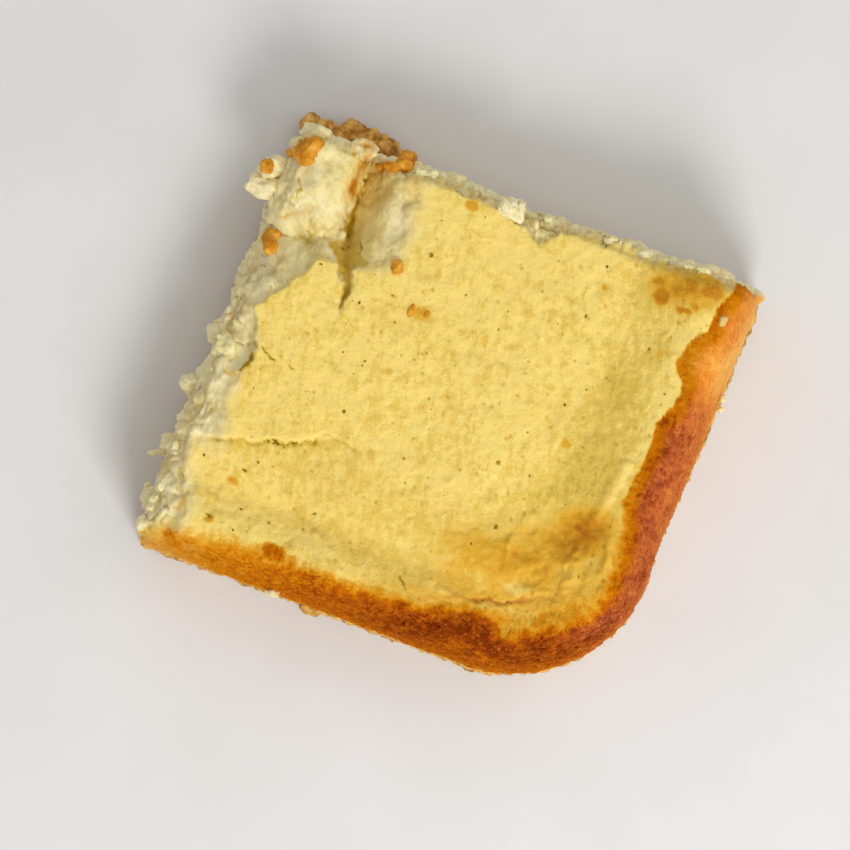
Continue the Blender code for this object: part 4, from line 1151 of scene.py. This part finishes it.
class Material:
    """A material in the making. Colours are given as 0 to 255 in sRGB, and sizes in millimetres."""

    def __init__(self, name):
        self.made = bpy.data.materials.new(name)
        self.made.use_nodes = True
        self.place = self.node("TexCoord", {}, "Object")

    def feed(self, node, inputs):
        """Gives a node's inputs, by name or number, a constant or another node's value."""
        for name, value in inputs.items():
            if isinstance(value, Value):
                self.made.node_tree.links.new(value.socket, node.inputs[name])
            else:
                node.inputs[name].default_value = value

    def node(self, kind, inputs, output=0, **settings):
        """Adds a node and returns one of its outputs."""
        added = self.made.node_tree.nodes.new("ShaderNode" + kind)
        for name, value in settings.items():
            setattr(added, name, value)
        self.feed(added, inputs)
        return Value(self, added.outputs[output])

    def vertex_value(self, name):
        return self.node("Attribute", {}, "Fac", attribute_name=name)

    def noise(self, size, detail=3.0, distortion=0.0, place=None):
        """A noise texture with features of a size."""
        inputs = {"Vector": place or self.place, "Scale": 1.0 / (size * MM), "Detail": detail}
        return self.node("TexNoise", inputs | {"Distortion": distortion})

    def mix(self, share, first, second, blend="MIX"):
        """Mixes a colour's value with a second colour or value, by a share."""
        second = second if isinstance(second, Value) else linear(*second)
        return self.node("Mix", {0: share, 6: first, 7: second}, 2, data_type="RGBA", blend_type=blend)

    def ramp(self, share, *stops):
        """The colours of a ramp, whose stops are given as place, red, green and blue."""
        colours = self.node("ValToRGB", {0: share})
        elements = colours.socket.node.color_ramp.elements
        while len(elements) < len(stops):
            elements.new(1.0)
        for element, (place, *colour) in zip(elements, stops):
            element.position = place
            element.color = linear(*colour)
        return colours

    def finished(self, **inputs):
        """Sets the surface's inputs, named with underscores for spaces, and returns the material."""
        shader = self.made.node_tree.nodes["Principled BSDF"]
        self.feed(shader, {name.replace("_", " "): value for name, value in inputs.items()})
        return self.made


def cheese_material():
    """Butter-yellow skin that toasts to brown at the rim, and pale curd where it is torn."""
    look = Material("baked_cheese")
    names = "pale", "white", "stain", "toast", "rosy", "golden", "speckled", "deeper", "crease"
    pale, white, stain, toast, rosy, golden, speckled, deeper, crease = map(look.vertex_value, names)
    clouds, mottle, fine = look.noise(9.0), look.noise(1.9, 4.0, 0.2), look.noise(0.6, 3.0, 0.2)
    turned = look.node(
        "Mapping", {"Vector": look.place, "Rotation": (0, 0, STREAK_TURN), "Scale": (1, STREAK_STRETCH, 1)},
        vector_type="TEXTURE",
    )
    streaks = look.noise(1.5, 2.0, 0.3, turned)

    # The skin's tone carries painted shade and painted highlights from the vertex value.
    tone = deeper + (clouds - 0.5) * 0.8 + (mottle - 0.5) + (fine - 0.5) * 0.9 + (streaks - 0.5) * 1.1
    skin = look.ramp(
        tone, (0.0, 250, 221, 124), (0.22, 239, 206, 101), (0.55, 229, 198, 91), (1.0, 204, 174, 66),
    )
    olive = ((look.noise(3.6, 2.0) - 0.58) * 5.0).clamped()
    skin = look.mix(olive * 0.45, skin, (214, 182, 84))
    cells = look.node("TexVoronoi", {"Vector": look.place, "Scale": 1.0 / (FRECKLE_SPACING * MM)}, "Color")
    distance = Value(look, cells.socket.node.outputs["Distance"])
    freckle = ((look.node("SeparateColor", {"Color": cells}) * 0.2 - distance) * 9.0).clamped()
    skin = look.mix(freckle * 0.6, skin, (180, 150, 36))
    goldish = (golden + (mottle - 0.42) * 0.9 * golden).clamped()
    gold = look.ramp(
        goldish, (0.0, 236, 202, 96), (0.3, 228, 176, 50), (0.6, 206, 140, 26), (1.0, 180, 106, 14),
    )
    skin = look.mix((goldish * 5.0).clamped(), skin, gold)

    swing = toast * (1.4 - toast) * (1.0 + speckled * 0.5)
    browned = (toast + ((mottle - 0.5) * 1.1 + (fine - 0.5) * 0.9) * swing).clamped()
    toasted = look.ramp(
        browned, (0.0, 238, 200, 94), (0.18, 226, 168, 44), (0.36, 216, 136, 12), (0.54, 198, 108, 8),
        (0.74, 176, 84, 14), (1.0, 130, 52, 8),
    )
    # Painted sheen: pinkish tones of the toasted crust, mixed in on the right side and round the corner.
    blushed = look.ramp(
        browned, (0.0, 240, 204, 98), (0.2, 250, 176, 70), (0.36, 236, 144, 50), (0.54, 212, 116, 58),
        (0.74, 176, 82, 42), (1.0, 108, 42, 14),
    )
    toasted = look.mix(rosy, toasted, blushed)
    # Painted glints: small light peach spots on the toasted crust where it is speckled.
    glints = ((look.noise(0.75, 2.0) - 0.6) * 7.0 * speckled).clamped() * (toast * 0.75)
    toasted = look.mix(glints, toasted, (222, 138, 66))
    skin = look.mix((browned * 8.0).clamped(), skin, toasted)

    curd = mottle + (clouds - 0.5) * 0.8
    curd = look.ramp(curd, (0.3, 228, 206, 134), (0.5, 244, 227, 160), (0.75, 250, 237, 182))
    # Whiteness: creamier curd, and painted light where shaded curd is lightened.
    curd = look.mix(white, curd, (250, 237, 188))
    curd = look.mix((goldish * 1.6).clamped(), curd, gold)
    curd = look.mix((browned * 2.2).clamped(), curd, toasted)
    colour = look.mix(pale, skin, curd)
    # Painted shade: the colour is multiplied darker in creases, crevices, pits and wrinkles.
    colour = look.mix(crease, colour, (214, 182, 110), "MULTIPLY")
    # Stains, and painted shade in the cracks, the cleft and the notch, turn the colour olive to dark brown.
    stained = look.ramp(
        stain, (0.35, 216, 188, 88), (0.5, 214, 178, 56), (0.66, 188, 150, 32), (0.8, 154, 116, 18),
        (1.0, 84, 62, 10),
    )
    colour = look.mix((stain * 1.6).clamped(), colour, stained)
    strength = (toast * 0.7 + 0.45).clamped()
    height = fine + mottle * 1.5 + streaks * 1.5
    return look.finished(
        Base_Color=colour, Roughness=toast * 0.2 + 0.42, Specular_IOR_Level=(0.13 - browned * 0.3).clamped(),
        Normal=look.node("Bump", {"Strength": strength, "Distance": 0.0005, "Height": height}),
        Subsurface_Weight=0.35, Subsurface_Scale=0.002, Subsurface_Radius=(1.0, 0.62, 0.2),
    )


def crumb_material(name, dark, medium, light):
    """Biscuit crumb in three tones."""
    look = Material(name)
    patches, fine = look.noise(2.3), look.noise(0.5)
    colour = look.ramp(patches + (fine - 0.5) * 0.35, (0.35, *dark), (0.52, *medium), (0.72, *light))
    # The colour is multiplied darker in the creases, as painted shade.
    return look.finished(
        Base_Color=look.mix(look.vertex_value("crease"), colour, (214, 176, 120), "MULTIPLY"),
        Normal=look.node("Bump", {"Strength": 0.5, "Distance": 0.0002, "Height": fine}),
        Roughness=0.6, Specular_IOR_Level=0.15,
        Subsurface_Weight=0.2, Subsurface_Scale=0.001, Subsurface_Radius=(1.0, 0.5, 0.2),
    )


def speck_material():
    """Olive-brown vanilla seed."""
    look = Material("vanilla_seed")
    colour = look.ramp(look.noise(3.0), (0.35, 122, 98, 4), (0.65, 178, 148, 22))
    return look.finished(Base_Color=colour, Roughness=0.6, Specular_IOR_Level=0.1)


def floor_material():
    """A plain pale table top."""
    look = Material("pale_table")
    colour = look.ramp(look.noise(40.0), (0.3, 226, 225, 222), (0.7, 231, 230, 228))
    return look.finished(Base_Color=colour, Roughness=0.8)


def add_floor():
    bm = bmesh.new()
    bmesh.ops.create_grid(bm, x_segments=2, y_segments=2, size=FLOOR_HALF)
    floor = add_object("floor", made_mesh("floor", bm))
    floor.data.materials.append(floor_material())


def aim(obj, away, distance, target=(0.0, 0.0, 0.0)):
    """Puts a light or camera at a distance from a target, in a direction, and turns it to face the target."""
    away = Vector(away).normalized()
    obj.location = Vector(target) + away * distance
    obj.rotation_euler = (-away).to_track_quat("-Z", "Y").to_euler()


def add_studio():
    """Two soft square lights and a plain white surrounding."""
    for name, away, distance, size, power in LIGHTS:
        light = bpy.data.lights.new(name, "AREA")
        light.size, light.energy = size, power
        aim(add_object(name, light), away, distance)
    world = bpy.data.worlds.new("studio")
    world.use_nodes = True
    background = world.node_tree.nodes["Background"]
    background.inputs["Color"].default_value = (1.0, 1.0, 1.0, 1.0)
    background.inputs["Strength"].default_value = WORLD_STRENGTH
    bpy.context.scene.world = world
    bpy.context.scene.view_settings.view_transform = "Standard"


def add_camera():
    """The photograph's view: almost straight down, turned a little."""
    turn, elevation = math.radians(CAMERA_AZIMUTH), math.radians(CAMERA_ELEVATION)
    level = math.cos(elevation)
    data = bpy.data.cameras.new("camera")
    data.lens = data.sensor_width * CAMERA_DISTANCE / VIEW_WIDTH
    camera = add_object("camera", data)
    away = (math.sin(turn) * level, -math.cos(turn) * level, math.sin(elevation))
    aim(camera, away, CAMERA_DISTANCE, in_metres(CAMERA_TARGET))
    bpy.context.scene.camera = camera


def dress(piece, material, replaced=None):
    """Gives a piece its material and its place in the frame."""
    piece.data.materials.clear()
    piece.data.materials.append(material)
    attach(piece, "root")
    if replaced:
        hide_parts(replaced)


def main():
    crumb = crumb_material("biscuit_crumb", (166, 116, 48), (222, 168, 80), (248, 204, 116))
    golden = crumb_material("golden_crumb", (200, 126, 22), (222, 152, 36), (238, 182, 74))
    cheese = cheese_material()
    filling = cheese_filling()
    dress(filling, cheese, "cheese_filling")
    dress(crumb_base(), crumb, "crumb_base")
    dress(golden_crumbs(filling), golden)
    dress(curd_crumbs(filling), cheese)
    dress(vanilla_specks(filling), speck_material())
    add_floor()
    add_studio()
    add_camera()


main()
